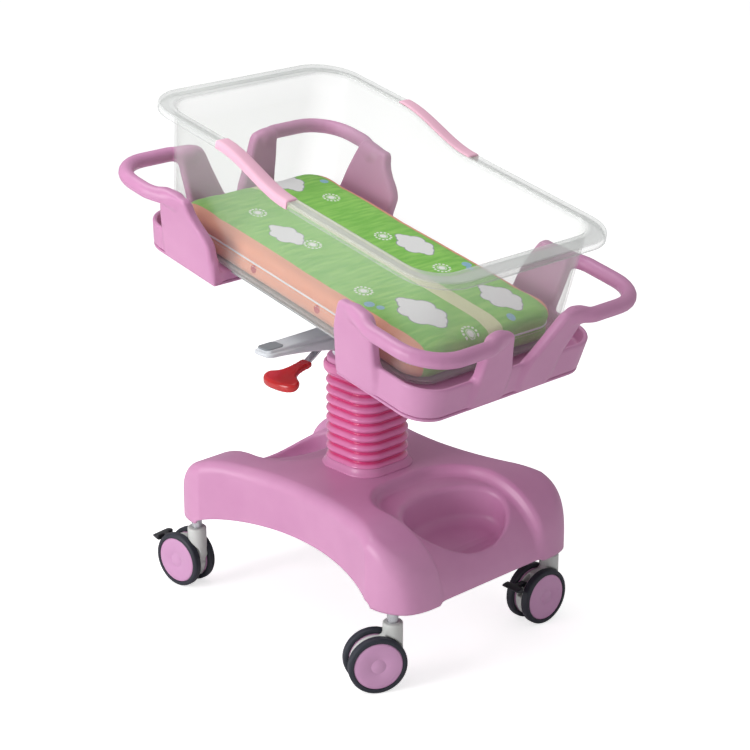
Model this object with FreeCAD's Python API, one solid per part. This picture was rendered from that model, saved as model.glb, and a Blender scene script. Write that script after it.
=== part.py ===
"""Hospital bassinet on a gas-spring column with four twin-wheel casters.

Frame: millimetres, +Z up, origin on the floor below the middle of the caster rectangle.
+X runs towards the foot end, +Y towards the far side, so -Y is the side with the release lever.
The deck parts are drawn level, with their origin on the tilt axis, and put_on_deck tips them.
"""
import FreeCAD, Part
import math
import os
from collections import namedtuple
from FreeCAD import Vector

# ---------------------------------------------------------------- driving dimensions
# Casters
WHEEL_DIA = 100.0
WHEEL_WIDTH = 16.0
TYRE_DEPTH = 8.5
TYRE_EDGE_R = 4.0
CASTER_INSET_X = 51.0
CASTER_INSET_Y = 25.5
CASTER_TRAIL = 30.0
FORK_WIDTH = 18.0
FORK_WEB_R = 42.0
FORK_NECK_R = 17.0
FORK_NECK_UP = 12.0
FORK_ABOVE_WHEEL = 17.0
WHEEL_GAP = 1.0
AXLE_DIA = 8.0
AXLE_END_GAP = 0.5
HUB_BOSS_DIA = 16.0
HUB_DISH = 1.0
HUB_CAP_THICK = 3.0
STEM_DIA = 12.0
STEM_COLLAR_DIA = 19.0
STEM_COLLAR_HEIGHT = 22.0
STEM_DEPTH_IN_FORK = 25.0
STEM_END_GAP = 0.5
RUNNING_FIT = 0.05
PEDAL_WIDTH = 40.0
PEDAL_PIVOT_OUT = 18.0
PEDAL_PIVOT_UP = 17.0
PEDAL_TREAD_UP = 28.0
PEDAL_TREAD_LENGTH = 15.0
PEDAL_TYRE_GAP = 2.0
PEDAL_ARM_WIDTH = 9.0
PEDAL_SIDE_GAP = 0.2
PEDAL_THICK = 6.0
PEDAL_PIN_DIA = 5.0
HEAD_NEAR_ANGLE = 187.0
FOOT_NEAR_ANGLE = 241.0
FOOT_FAR_ANGLE = 268.0
HEAD_FAR_ANGLE = 155.0

# Moulded base
BASE_LENGTH = 612.0
BASE_WIDTH = 430.0
BASE_WAIST = 338.0
BASE_CORNER_R = 78.0
BASE_HEIGHT = 127.0
BASE_END_ROUND_X = 138.0
BASE_END_ROUND_Z = 110.0
BASE_END_CROWN = 3.0
BASE_RIDGE_R = 20.0
SHELL_WALL = 4.0
SIDE_ARCH_LENGTH = 456.0
SIDE_ARCH_HEIGHT = 32.0
END_ARCH_HEIGHT = 3.0
CHANNEL_START_X = 88.0
CHANNEL_WIDTH = 240.0
CHANNEL_CORNER_R = 84.0
CHANNEL_DROP = 17.0
CHANNEL_END_INSET = 9.0
COLUMN_HOLE_GAP = 1.0
BOWL_CENTRE_X = 210.0
BOWL_LENGTH = 146.0
BOWL_WIDTH = 210.0
BOWL_DEPTH = 74.0
BOWL_TAPER = 9.0

# Steel chassis under the base
PLATE_SIZE = 150.0
PLATE_THICK = 6.0
SOCKET_HEIGHT = 41.0
ARM_TUBE_WIDTH = 30.0
ARM_TUBE_HEIGHT = 25.0
ARM_TUBE_WALL = 2.5
SOCKET_DIA = 30.0
STANDOFF_DIA = 14.0
STANDOFF_PLACE = 45.0
SCREW_DIA = 5.0
SCREW_HEAD_DIA = 9.0
SCREW_HEAD_HEIGHT = 3.0
SCREW_GRIP = 24.0

# Column
MAST_X = -8.0
OUTER_TUBE_DIA = 76.0
OUTER_TUBE_WALL = 3.0
OUTER_TUBE_LENGTH = 200.0
INNER_TUBE_DIA = 60.0
INNER_TUBE_WALL = 3.0
INNER_TUBE_LENGTH = 204.0
BUSH_LENGTH = 40.0
SPRING_BODY_DIA = 28.0
SPRING_BODY_WALL = 3.0
SPRING_BODY_LENGTH = 186.0
ROD_DIA = 10.0
ROD_LENGTH = 188.0
PISTON_THICK = 12.0
VALVE_PIN_DIA = 4.0
VALVE_PIN_LENGTH = 34.0
VALVE_PIN_ROOM = 12.0

# Bellows and covers round the column, all rounded squares in plan
BELLOWS_HALF = 63.0
BELLOWS_CORNER_R = 42.0
BELLOWS_RIBS = 9
BELLOWS_RIB_SIDES = 6
BELLOWS_RIB_DEPTH = 8.0
BELLOWS_WALL = 1.6
COLLAR_HALF = 65.0
COLLAR_HEIGHT = 14.0
TOP_RING_HEIGHT = 19.0
TOP_RING_HALF = 67.0
TOP_RING_EDGE_R = 4.5
COVER_HALF = 61.0
COVER_WALL = 3.0
COVER_HEIGHT = 28.0

# Cast head with the grip arm, heights from the tilt axis
TILT_AXIS_Z = 512.0
HEAD_HEIGHT_TO_AXIS = 46.0
HEAD_PLATE_THICK = 10.0
HEAD_ABOVE_ROD = 2.0
HEAD_PLATE_HALF = 50.0
HEAD_PLATE_CORNER_R = 28.0
CHEEK_INNER = 36.0
CHEEK_THICK = 14.0
CHEEK_R = 26.0
TILT_PIN_DIA = 12.0
TILT_PIN_HEAD = 7.0
TILT_PIN_HEAD_DIA = 20.0
WASHER_THICK = 2.0
WASHER_R = 16.0
GRIP_LENGTH = 240.0
GRIP_WIDTH = 50.0
GRIP_TOP = 20.0
GRIP_TIP_THICK = 12.0
GRIP_ROOT_THICK = 44.0
GRIP_WALL = 5.0
GRIP_TIP_R = 12.5
GRIP_PAD_LENGTH = 26.0
GRIP_PAD_THICK = 1.5

# Release lever, places from the tilt axis
LEVER_PIVOT_OUT = 62.0
LEVER_PIVOT_DOWN = 21.0
LEVER_PIN_DIA = 6.0
LEVER_BAR_WIDTH = 14.0
LEVER_BAR_THICK = 5.0
LEVER_BEND_OUT = 108.0
LEVER_BEND_DOWN = 8.0
LEVER_END_OUT = 152.0
LEVER_END_DOWN = 36.0
LEVER_TONGUE_PAST = 8.0
LEVER_SLOT_GAP = 1.0
PADDLE_TIP_OUT = 212.0
PADDLE_TIP_DOWN = 50.0
PADDLE_WIDTH = 82.0
PADDLE_NECK_WIDTH = 26.0
PADDLE_WAIST_OUT = 171.0
PADDLE_WAIST_WIDTH = 32.0
PADDLE_SHOULDER_OUT = 197.0
PADDLE_SHOULDER_WIDTH = 70.0
PADDLE_THICK = 14.0
PADDLE_NECK_THICK = 11.0
PADDLE_ROUNDING = 0.45

# Deck, heights from the tilt axis and lengths from the deck centre
DECK_ANGLE = 11.5
DECK_CENTRE_X = -32.0
DECK_TOP = 68.0
DECK_PANEL_THICK = 4.0
DECK_PANEL_INSET = 14.0
RAIL_Y = 95.0
RAIL_END_GAP = 10.0
RAIL_WIDTH = 20.0
RAIL_HEIGHT = 15.0
RAIL_WALL = 2.0
CROSSBAR_X = 120.0
LUG_HALF_WIDTH = 34.0
LUG_R = 18.0
LUG_NECK_WIDTH = 29.0
LUG_PLATE_LENGTH = 120.0
LUG_PLATE_THICK = 4.0

# End trays
TRAY_SIDE_ROOM = 14.0
TRAY_CORNER_R = 52.0
TRAY_FLARE = 8.0
TRAY_WALL = 8.0
TRAY_WALL_TOP = 94.0
FOOT_TRAY_START = 166.0
FOOT_TRAY_ROOM = 31.0
FOOT_BASE_THICK = 17.0
HEAD_TRAY_START = 146.0
HEAD_TRAY_ROOM = 14.0
HEAD_BASE_THICK = 5.0
POST_THICK = 20.0
POST_FOOT_PROUD = 2.0
POST_LEAN = 16.0
POST_START_UP = 24.0
FOOT_POST_LENGTH = 94.0
FOOT_POST_RISE = 24.0
HEAD_POST_LENGTH = 134.0
HEAD_POST_RISE = 55.0
SIDE_POST_TOP_LENGTH = 62.0
END_POST_TOP_LENGTH = 40.0
POST_TOP_LEAN = 6.5
POST_TOP_R = 10.0
POST_EDGE_R = 6.0
POST_FOOT_UP = 13.0
END_POST_INNER_Y = 14.0
END_POST_OUTER_Y = 92.0
END_POST_RISE = 53.0
BAR_DIA = 26.0
BAR_HEIGHT = 175.0
BAR_SIDE_REACH = 50.0
BAR_END_REACH = 43.0
BAR_CORNER_R = 70.0
BAR_BLEND_R = 52.0
BAR_END_BLEND_R = 31.0

# Tub
TUB_WALL = 4.0
TUB_LENGTH = 668.0
TUB_WIDTH = 394.0
TUB_DRAFT_END = 8.0
TUB_DRAFT_SIDE = 19.0
TUB_CORNER_R = 56.0
TUB_FLOOR_R = 18.0
RIM_FLANGE_END = 33.0
RIM_FLANGE_SIDE = 20.0
RIM_LIP = 12.0
TUB_DEPTH_FOOT = 210.0
RIM_STEP = 32.0
RIM_STEP_START = -152.0
RIM_STEP_LENGTH = 168.0
GRIP_STRIP_OVER = 3.0
GRIP_STRIP_EXTRA = 8.0

# Mattress
MATTRESS_THICK = 58.0
MATTRESS_SIDE_GAP = 3.0
MATTRESS_END_GAP = 6.0
SOFT_CLEARANCE = 0.3

# ---------------------------------------------------------------- values worked out once
WHEEL_R = WHEEL_DIA / 2
WHEEL_INNER = FORK_WIDTH / 2 + WHEEL_GAP
WHEEL_OUTER = WHEEL_INNER + WHEEL_WIDTH
FORK_TOP_Z = WHEEL_DIA + FORK_ABOVE_WHEEL
BASE_BOTTOM_Z = FORK_TOP_Z + STEM_COLLAR_HEIGHT
BASE_TOP_Z = BASE_BOTTOM_Z + BASE_HEIGHT
CASTER_X = BASE_LENGTH / 2 - CASTER_INSET_X
CASTER_Y = BASE_WIDTH / 2 - CASTER_INSET_Y
PLATE_BOTTOM_Z = BASE_BOTTOM_Z + SOCKET_HEIGHT
PLATE_TOP_Z = PLATE_BOTTOM_Z + PLATE_THICK
BELLOWS_BOTTOM_Z = BASE_TOP_Z + COLLAR_HEIGHT
OUTER_TUBE_TOP_Z = PLATE_TOP_Z + OUTER_TUBE_LENGTH
HEAD_BOTTOM_Z = TILT_AXIS_Z - HEAD_HEIGHT_TO_AXIS
HEAD_PLATE_TOP_Z = HEAD_BOTTOM_Z + HEAD_PLATE_THICK
INNER_TUBE_BOTTOM_Z = HEAD_BOTTOM_Z - INNER_TUBE_LENGTH
TOP_RING_Z = HEAD_BOTTOM_Z - COVER_HEIGHT
ROD_TOP_Z = HEAD_PLATE_TOP_Z - HEAD_ABOVE_ROD
ROD_BOTTOM_Z = ROD_TOP_Z - ROD_LENGTH
CHEEK_OUTER = CHEEK_INNER + CHEEK_THICK
RAIL_TOP = DECK_TOP - DECK_PANEL_THICK
RAIL_BOTTOM = RAIL_TOP - RAIL_HEIGHT
TUB_FLOOR = DECK_TOP + TUB_WALL
RIM_LOW = DECK_TOP + TUB_DEPTH_FOOT
RIM_HIGH = RIM_LOW + RIM_STEP
TUB_TOP_HALF_LENGTH = TUB_LENGTH / 2
TUB_TOP_HALF_WIDTH = TUB_WIDTH / 2
TUB_BOTTOM_HALF_LENGTH = TUB_TOP_HALF_LENGTH - TUB_DRAFT_END
TUB_BOTTOM_HALF_WIDTH = TUB_TOP_HALF_WIDTH - TUB_DRAFT_SIDE
RIM_HALF_LENGTH = TUB_TOP_HALF_LENGTH + RIM_FLANGE_END
RIM_HALF_WIDTH = TUB_TOP_HALF_WIDTH + RIM_FLANGE_SIDE
TRAY_HALF_WIDTH = TUB_BOTTOM_HALF_WIDTH + TRAY_SIDE_ROOM + TRAY_WALL
FOOT_TRAY_END = TUB_BOTTOM_HALF_LENGTH + FOOT_TRAY_ROOM + TRAY_WALL
HEAD_TRAY_END = TUB_BOTTOM_HALF_LENGTH + HEAD_TRAY_ROOM + TRAY_WALL
RAIL_END = HEAD_TRAY_END - TRAY_WALL - RAIL_END_GAP
POST_TOP = BAR_HEIGHT + BAR_DIA / 2
TRAY_SPREAD = math.tan(math.radians(TRAY_FLARE))
POST_SPREAD = math.tan(math.radians(POST_LEAN))
POST_OUT_AT_BAR = POST_FOOT_PROUD + (BAR_HEIGHT - RAIL_BOTTOM) * POST_SPREAD - POST_THICK / 2
BAR_SIDE_OUT = TRAY_HALF_WIDTH + BAR_SIDE_REACH
TALL = 1000.0
NEAR = 1.0
LEVEL_WITHIN = 0.01
UP = Vector(0, 0, 1)
ALONG_X = Vector(1, 0, 0)
ALONG_Y = Vector(0, 1, 0)


# ---------------------------------------------------------------- small shape helpers
def box(x0, x1, y0, y1, z0, z1):
    """A block between two corners."""
    return Part.makeBox(x1 - x0, y1 - y0, z1 - z0, Vector(x0, y0, z0))


def rod(radius, start, end):
    """A round bar between two points."""
    start, end = Vector(start), Vector(end)
    return Part.makeCylinder(radius, start.distanceToPoint(end), start, end - start)


def pipe(outer_r, inner_r, start, end):
    """A tube between two points."""
    return rod(outer_r, start, end).cut(rod(inner_r, start, end))


def fuse(shapes):
    """One clean solid out of shapes that touch or overlap."""
    first, *others = shapes
    return first.multiFuse(others).removeSplitter()


def mirrored(shape, normal):
    """The same shape on the other side of the plane through the origin."""
    return shape.mirror(Vector(0, 0, 0), normal)


def rounded_rectangle(half_x, half_y, radius, z=0.0):
    """A closed wire in a level plane, centred on the origin."""
    corners = [(1, 1), (-1, 1), (-1, -1), (1, -1)]
    edges = []
    for number, (sx, sy) in enumerate(corners):
        centre = Vector(sx * (half_x - radius), sy * (half_y - radius), z)
        circle = Part.Circle(centre, UP, radius)
        start = math.radians(90 * number)
        edges.append(Part.Arc(circle, start, start + math.pi / 2).toShape())
    joined = []
    for number, edge in enumerate(edges):
        following = edges[(number + 1) % len(edges)]
        joined.append(edge)
        ends = edge.valueAt(edge.LastParameter), following.valueAt(following.FirstParameter)
        joined.append(Part.makeLine(*ends))
    return Part.Wire(joined)


def prism(half_x, half_y, radius, z0, z1):
    """An upright block with round corners, centred on the origin."""
    face = Part.Face(rounded_rectangle(half_x, half_y, radius, z0))
    return face.extrude(UP * (z1 - z0))


def outline_prism(points, direction, plane_point, span):
    """A polygon of (across, up) points, extruded along X or Y by span from plane_point."""
    if direction is ALONG_X:
        corners = [Vector(plane_point, a, b) for a, b in points]
    else:
        corners = [Vector(a, plane_point, b) for a, b in points]
    face = Part.Face(Part.makePolygon(corners + corners[:1]))
    return face.extrude(direction * span)


def level_edges(shape):
    """Edges that lie in a level plane."""
    return [edge for edge in shape.Edges if edge.BoundBox.ZLength < LEVEL_WITHIN]


def save(name, shape):
    """Write one named piece."""
    shape.exportStep(os.path.join("parts", name + ".step"))


# ---------------------------------------------------------------- casters
def turned(shape, heading, x, y):
    """Swing a caster piece drawn with its trail along +X, and put it on its corner."""
    moved = shape.copy()
    moved.rotate(Vector(0, 0, 0), UP, heading)
    moved.translate(Vector(x, y, 0))
    return moved


def caster_stem():
    """Threaded stem with its collar, standing on the swivel axis."""
    shank = rod(STEM_DIA / 2, (0, 0, FORK_TOP_Z - STEM_DEPTH_IN_FORK), (0, 0, PLATE_BOTTOM_Z))
    collar = rod(STEM_COLLAR_DIA / 2, (0, 0, FORK_TOP_Z), (0, 0, BASE_BOTTOM_Z))
    return fuse([shank, collar])


def caster_fork(braked):
    """Web between the twin wheels, with the neck that turns on the stem."""
    axle = Vector(CASTER_TRAIL, 0, WHEEL_R)
    half = Vector(0, FORK_WIDTH / 2, 0)
    reach = Vector(0, WHEEL_OUTER, 0)
    web = rod(FORK_WEB_R, axle - half, axle + half)
    neck = rod(FORK_NECK_R, (0, 0, WHEEL_R + FORK_NECK_UP), (0, 0, FORK_TOP_Z))
    shoulder = box(0, CASTER_TRAIL, -FORK_WIDTH / 2, FORK_WIDTH / 2,
                   WHEEL_R, WHEEL_R + FORK_WEB_R)
    body = fuse([web, neck, shoulder])
    wheel_space = rod(WHEEL_R + WHEEL_GAP, axle + half, axle + reach)
    body = body.cut(wheel_space).cut(mirrored(wheel_space, ALONG_Y))
    body = body.cut(rod(AXLE_DIA / 2, axle - reach, axle + reach))
    bore_bottom = (0, 0, FORK_TOP_Z - STEM_DEPTH_IN_FORK - STEM_END_GAP)
    body = body.cut(rod(STEM_DIA / 2 + RUNNING_FIT, bore_bottom, (0, 0, FORK_TOP_Z)))
    if braked:
        body = body.cut(pedal_space()).cut(pedal_pin_at(PEDAL_PIN_DIA / 2))
    return body


def pedal_pivot():
    """Hinge point of the brake pedal, behind and above the axle."""
    return Vector(CASTER_TRAIL + PEDAL_PIVOT_OUT, 0, WHEEL_R + PEDAL_PIVOT_UP)


def pedal_pin_at(radius):
    """Cross pin of the brake pedal."""
    half = Vector(0, FORK_WIDTH / 2, 0)
    return rod(radius, pedal_pivot() - half, pedal_pivot() + half)


def pedal_space():
    """Slot in the web that the pedal arm swings in."""
    pivot = pedal_pivot()
    half = PEDAL_ARM_WIDTH / 2 + PEDAL_SIDE_GAP
    return box(pivot.x - PEDAL_THICK, pivot.x + FORK_WEB_R, -half, half,
               pivot.z - PEDAL_THICK * 2, pivot.z + FORK_WEB_R)


def brake_pedal():
    """Arm on the cross pin with a wide tread behind the wheels."""
    pivot = pedal_pivot()
    half = PEDAL_ARM_WIDTH / 2
    tread_x = CASTER_TRAIL + WHEEL_R + PEDAL_TYRE_GAP
    tread_z = WHEEL_R + PEDAL_TREAD_UP
    low, high = tread_z - PEDAL_THICK / 2, tread_z + PEDAL_THICK / 2
    eye = rod(PEDAL_PIN_DIA, pivot - ALONG_Y * half, pivot + ALONG_Y * half)
    side_view = [(pivot.x, pivot.z - PEDAL_PIN_DIA / 2), (pivot.x, pivot.z + PEDAL_PIN_DIA),
                 (tread_x, high), (tread_x, low)]
    arm = outline_prism(side_view, ALONG_Y, -half, PEDAL_ARM_WIDTH)
    tread = box(tread_x - PEDAL_TYRE_GAP, tread_x + PEDAL_TREAD_LENGTH,
                -PEDAL_WIDTH / 2, PEDAL_WIDTH / 2, low, high)
    pedal = fuse([eye, arm, tread])
    return pedal.cut(pedal_pin_at(PEDAL_PIN_DIA / 2 + RUNNING_FIT))


def tyre(side):
    """Round-edged rubber ring of one wheel."""
    mid = side * (WHEEL_INNER + WHEEL_OUTER) / 2
    start = Vector(CASTER_TRAIL, mid - WHEEL_WIDTH / 2, WHEEL_R)
    end = Vector(CASTER_TRAIL, mid + WHEEL_WIDTH / 2, WHEEL_R)
    solid = rod(WHEEL_R, start, end)
    solid = solid.makeFillet(TYRE_EDGE_R, solid.Edges[:1] + solid.Edges[2:3])
    return solid.cut(rod(WHEEL_R - TYRE_DEPTH, start, end))


def hub(side):
    """Wheel disc with a shallow dished face and a small centre boss."""
    start = Vector(CASTER_TRAIL, side * WHEEL_INNER, WHEEL_R)
    face = Vector(CASTER_TRAIL, side * (WHEEL_OUTER - HUB_DISH), WHEEL_R)
    disc = rod(WHEEL_R - TYRE_DEPTH, start, face)
    boss = rod(HUB_BOSS_DIA / 2, start, (CASTER_TRAIL, side * WHEEL_OUTER, WHEEL_R))
    bore_end = (CASTER_TRAIL, side * (WHEEL_OUTER - HUB_CAP_THICK), WHEEL_R)
    return fuse([disc, boss]).cut(rod(AXLE_DIA / 2 + RUNNING_FIT, start, bore_end))


def axle():
    """Steel axle through the web and into both discs."""
    reach = WHEEL_OUTER - HUB_CAP_THICK - AXLE_END_GAP
    return rod(AXLE_DIA / 2, (CASTER_TRAIL, -reach, WHEEL_R), (CASTER_TRAIL, reach, WHEEL_R))


# name, side of X, side of Y, direction of the trail in degrees, braked
CASTERS = [
    ("head_near", -1, -1, HEAD_NEAR_ANGLE, True),
    ("foot_near", 1, -1, FOOT_NEAR_ANGLE, False),
    ("foot_far", 1, 1, FOOT_FAR_ANGLE, True),
    ("head_far", -1, 1, HEAD_FAR_ANGLE, False),
]


def build_casters():
    """Four casters, each swung to its own heading."""
    stems = []
    for name, side_x, side_y, heading, braked in CASTERS:
        place = heading, side_x * CASTER_X, side_y * CASTER_Y
        stems.append(turned(caster_stem(), *place))
        save("caster_fork_" + name, turned(caster_fork(braked), *place))
        save("caster_axle_" + name, turned(axle(), *place))
        tyres = Part.makeCompound([tyre(1), tyre(-1)])
        save("tyres_" + name, turned(tyres, *place))
        hubs = Part.makeCompound([hub(1), hub(-1)])
        save("wheel_discs_" + name, turned(hubs, *place))
        if braked:
            save("brake_pedal_" + name, turned(brake_pedal(), *place))
            save("brake_pin_" + name, turned(pedal_pin_at(PEDAL_PIN_DIA / 2), *place))
    save("caster_stems", Part.makeCompound(stems))


# ---------------------------------------------------------------- moulded base
def base_plan(inset):
    """Waisted outline: concave sides run tangent into round corners."""
    end_x = BASE_LENGTH / 2 + BASE_END_CROWN - inset
    side_y = BASE_WIDTH / 2 - inset
    corner_r = BASE_CORNER_R - inset
    corner_x, corner_y = end_x - corner_r, side_y - corner_r
    dip = (BASE_WIDTH - BASE_WAIST) / 2
    reach = (corner_x ** 2 + dip ** 2) / (2 * dip)
    lean = math.asin(corner_x / reach)
    touch_x = corner_x - corner_r * math.sin(lean)
    touch_y = corner_y + corner_r * math.cos(lean)
    waist_y = BASE_WAIST / 2 - inset
    half_turn = (math.pi / 2 - lean) / 2
    bulge_x = corner_x + corner_r * math.sin(half_turn)
    bulge_y = corner_y + corner_r * math.cos(half_turn)
    edges = []
    for side in (-1, 1):
        waist = [Vector(-side * touch_x, side * touch_y, 0), Vector(0, side * waist_y, 0),
                 Vector(side * touch_x, side * touch_y, 0)]
        edges.append(Part.Arc(*waist).toShape())
        for end in (-1, 1):
            corner = [Vector(end * touch_x, side * touch_y, 0),
                      Vector(end * bulge_x, side * bulge_y, 0),
                      Vector(end * end_x, side * corner_y, 0)]
            edges.append(Part.Arc(*corner).toShape())
    for end in (-1, 1):
        edges.append(Part.makeLine(Vector(end * end_x, -corner_y, 0),
                                   Vector(end * end_x, corner_y, 0)))
    return Part.Face(Part.Wire(Part.__sortEdges__(edges)))


def base_side_profile(drop, end_inset):
    """Side view of the base: a level top that rounds over into upright ends."""
    end_x = BASE_LENGTH / 2 - end_inset
    top_z = BASE_TOP_Z - drop
    round_x, round_z = BASE_END_ROUND_X, BASE_END_ROUND_Z
    centre_x, centre_z = end_x - round_x, top_z - round_z
    edges = [Part.makeLine(Vector(-end_x, -TALL, 0), Vector(end_x, -TALL, 0))]
    for end in (-1, 1):
        edges.append(Part.makeLine(Vector(end * end_x, -TALL, 0),
                                   Vector(end * end_x, -TALL, centre_z)))
        middle = Vector(end * centre_x, -TALL, centre_z)
        oval = Part.Ellipse(middle + ALONG_X * (end * round_x), middle + UP * round_z, middle)
        edges.append(Part.Arc(oval, 0, math.pi / 2).toShape())
    edges.append(Part.makeLine(Vector(-centre_x, -TALL, top_z), Vector(centre_x, -TALL, top_z)))
    face = Part.Face(Part.Wire(Part.__sortEdges__(edges)))
    return face.extrude(ALONG_Y * (2 * TALL))


def bowl(grow, drop):
    """Tapered oval bowl under the foot-end channel, open upwards."""
    top_z = BASE_TOP_Z - CHANNEL_DROP
    floor_z = top_z - BOWL_DEPTH - drop
    rings = []
    for z, taper in ((floor_z, BOWL_TAPER), (BASE_TOP_Z, 0.0)):
        size = Vector(BOWL_LENGTH / 2 - taper + grow, BOWL_WIDTH / 2 - taper + grow, 0)
        long_end = Vector(BOWL_CENTRE_X, size.y, z)
        side_end = Vector(BOWL_CENTRE_X + size.x, 0, z)
        centre = Vector(BOWL_CENTRE_X, 0, z)
        rings.append(Part.Wire(Part.Ellipse(long_end, side_end, centre).toShape()))
    return Part.makeLoft(rings, True, True)


def channel(grow):
    """Plan of one end channel, open towards the end of the base."""
    length = BASE_LENGTH
    half = Part.Face(rounded_rectangle(length / 2 + grow, CHANNEL_WIDTH / 2 + grow,
                                       CHANNEL_CORNER_R + grow))
    block = half.extrude(UP * TALL)
    block.translate(Vector(CHANNEL_START_X + length / 2, 0, 0))
    return block


def ridge_edges(block):
    """Edges where the side walls meet the top and the round ends, down to the floor."""
    chosen = []
    for edge in block.Edges:
        bounds = edge.BoundBox
        upright_seam = bounds.XLength < NEAR and abs(bounds.XMin) < BASE_LENGTH / 2 - BASE_RIDGE_R
        across = bounds.YLength > BASE_CORNER_R + BASE_RIDGE_R
        if bounds.ZMax > NEAR and not upright_seam and not across:
            chosen.append(edge)
    return chosen


def base_solid(inset):
    """Base block with both channels and bowls sunk in, drawn inset from the outer skin."""
    plan = base_plan(inset).extrude(UP * TALL)
    block = plan.common(base_side_profile(inset, inset))
    block = block.makeFillet(BASE_RIDGE_R - inset, ridge_edges(block))
    floor = base_side_profile(CHANNEL_DROP + inset, CHANNEL_END_INSET + inset)
    sunk = channel(inset).cut(floor)
    sunk = sunk.fuse(bowl(inset, inset))
    return block.cut(sunk).cut(mirrored(sunk, ALONG_X))


def base_shell():
    """Thin moulded cover, open below, with arched sides and ends."""
    shell = base_solid(0).cut(base_solid(SHELL_WALL))
    shell = shell.cut(box(-BASE_LENGTH, BASE_LENGTH, -BASE_WIDTH, BASE_WIDTH, 0, BASE_BOTTOM_Z))
    centre = Vector(0, -BASE_WIDTH, BASE_BOTTOM_Z)
    side = Vector(SIDE_ARCH_LENGTH / 2, -BASE_WIDTH, BASE_BOTTOM_Z)
    crown = Vector(0, -BASE_WIDTH, BASE_BOTTOM_Z + SIDE_ARCH_HEIGHT)
    arch = Part.Face(Part.Wire(Part.Ellipse(side, crown, centre).toShape()))
    shell = shell.cut(arch.extrude(ALONG_Y * (2 * BASE_WIDTH)))
    end_arch_half = CHANNEL_WIDTH / 2
    end_cut = box(-BASE_LENGTH, BASE_LENGTH, -end_arch_half, end_arch_half,
                  0, BASE_BOTTOM_Z + END_ARCH_HEIGHT)
    shell = shell.cut(end_cut)
    tube_hole = rod(OUTER_TUBE_DIA / 2 + COLUMN_HOLE_GAP, (MAST_X, 0, 0), (MAST_X, 0, TALL))
    shell = shell.cut(tube_hole)
    for place in standoff_places():
        shell = shell.cut(rod(SCREW_DIA / 2, place, place + UP * TALL))
    return shell


def standoff_places():
    """Feet of the four standoffs that carry the cover round the column."""
    return [Vector(MAST_X + sx * STANDOFF_PLACE, sy * STANDOFF_PLACE, PLATE_TOP_Z)
            for sx in (-1, 1) for sy in (-1, 1)]


def chassis():
    """Welded steel frame: centre plate, four box arms, stem sockets and standoffs."""
    plate = prism(PLATE_SIZE / 2, PLATE_SIZE / 2, SOCKET_DIA / 2, PLATE_BOTTOM_Z, PLATE_TOP_Z)
    arm_top, arm_bottom = PLATE_BOTTOM_Z, PLATE_BOTTOM_Z - ARM_TUBE_HEIGHT
    corner = Vector(CASTER_X, CASTER_Y, 0)
    arm_angle = math.degrees(math.atan2(corner.y, corner.x))
    arms, sockets = [], []
    half = ARM_TUBE_WIDTH / 2
    for turn in (arm_angle, 180 - arm_angle, 180 + arm_angle, 360 - arm_angle):
        outside = box(0, corner.Length, -half, half, arm_bottom, arm_top)
        inside = box(half * 2, corner.Length + ARM_TUBE_WALL, -half + ARM_TUBE_WALL, half - ARM_TUBE_WALL,
                     arm_bottom + ARM_TUBE_WALL, arm_top - ARM_TUBE_WALL)
        arm = outside.cut(inside)
        arm.rotate(Vector(0, 0, 0), UP, turn)
        arms.append(arm)
    for sx in (-1, 1):
        for sy in (-1, 1):
            foot = Vector(sx * corner.x, sy * corner.y, BASE_BOTTOM_Z)
            head = Vector(foot.x, foot.y, arm_top)
            sockets.append(rod(SOCKET_DIA / 2, foot, head))
    posts = [rod(STANDOFF_DIA / 2, place, place + UP * (BASE_TOP_Z - SHELL_WALL - PLATE_TOP_Z))
             for place in standoff_places()]
    frame = fuse([plate] + arms + sockets + posts)
    for sx in (-1, 1):
        for sy in (-1, 1):
            frame = frame.cut(rod(STEM_DIA / 2, (sx * corner.x, sy * corner.y, 0),
                                  (sx * corner.x, sy * corner.y, PLATE_BOTTOM_Z)))
    for top in collar_screw_places():
        frame = frame.cut(rod(SCREW_DIA / 2, top - UP * (COLLAR_HEIGHT + SCREW_GRIP), top))
    return frame


def collar_screw_places():
    """Tops of the four collar screws, flush with the collar."""
    return [Vector(place.x, place.y, BELLOWS_BOTTOM_Z) for place in standoff_places()]


def collar_screw(top):
    """Screw with its head sunk in the collar and its shank down in a standoff."""
    seat = top - UP * SCREW_HEAD_HEIGHT
    shank = rod(SCREW_DIA / 2, seat, top - UP * (COLLAR_HEIGHT + SCREW_GRIP))
    return fuse([rod(SCREW_HEAD_DIA / 2, top, seat), shank])


# ---------------------------------------------------------------- column
def on_mast(shape):
    """Move a piece drawn on the Z axis to the column."""
    moved = shape.copy()
    moved.translate(Vector(MAST_X, 0, 0))
    return moved


def bellows_ring(profile_points, half, corner_r):
    """Sweep a closed (offset, z) profile round a rounded square of the given half size."""
    straight = half - corner_r
    pieces = []
    side_corners = [Vector(half + offset, -straight, z) for offset, z in profile_points]
    side = Part.Face(Part.makePolygon(side_corners + side_corners[:1]))
    bend_corners = [Vector(half + offset, straight, z) for offset, z in profile_points]
    bend = Part.Face(Part.makePolygon(bend_corners + bend_corners[:1]))
    flank = side.extrude(ALONG_Y * (2 * straight))
    corner = bend.revolve(Vector(straight, straight, 0), UP, 90)
    for quarter in range(4):
        for piece in (flank, corner):
            turned_piece = piece.copy()
            turned_piece.rotate(Vector(0, 0, 0), UP, 90 * quarter)
            pieces.append(turned_piece)
    return fuse(pieces)


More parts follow.
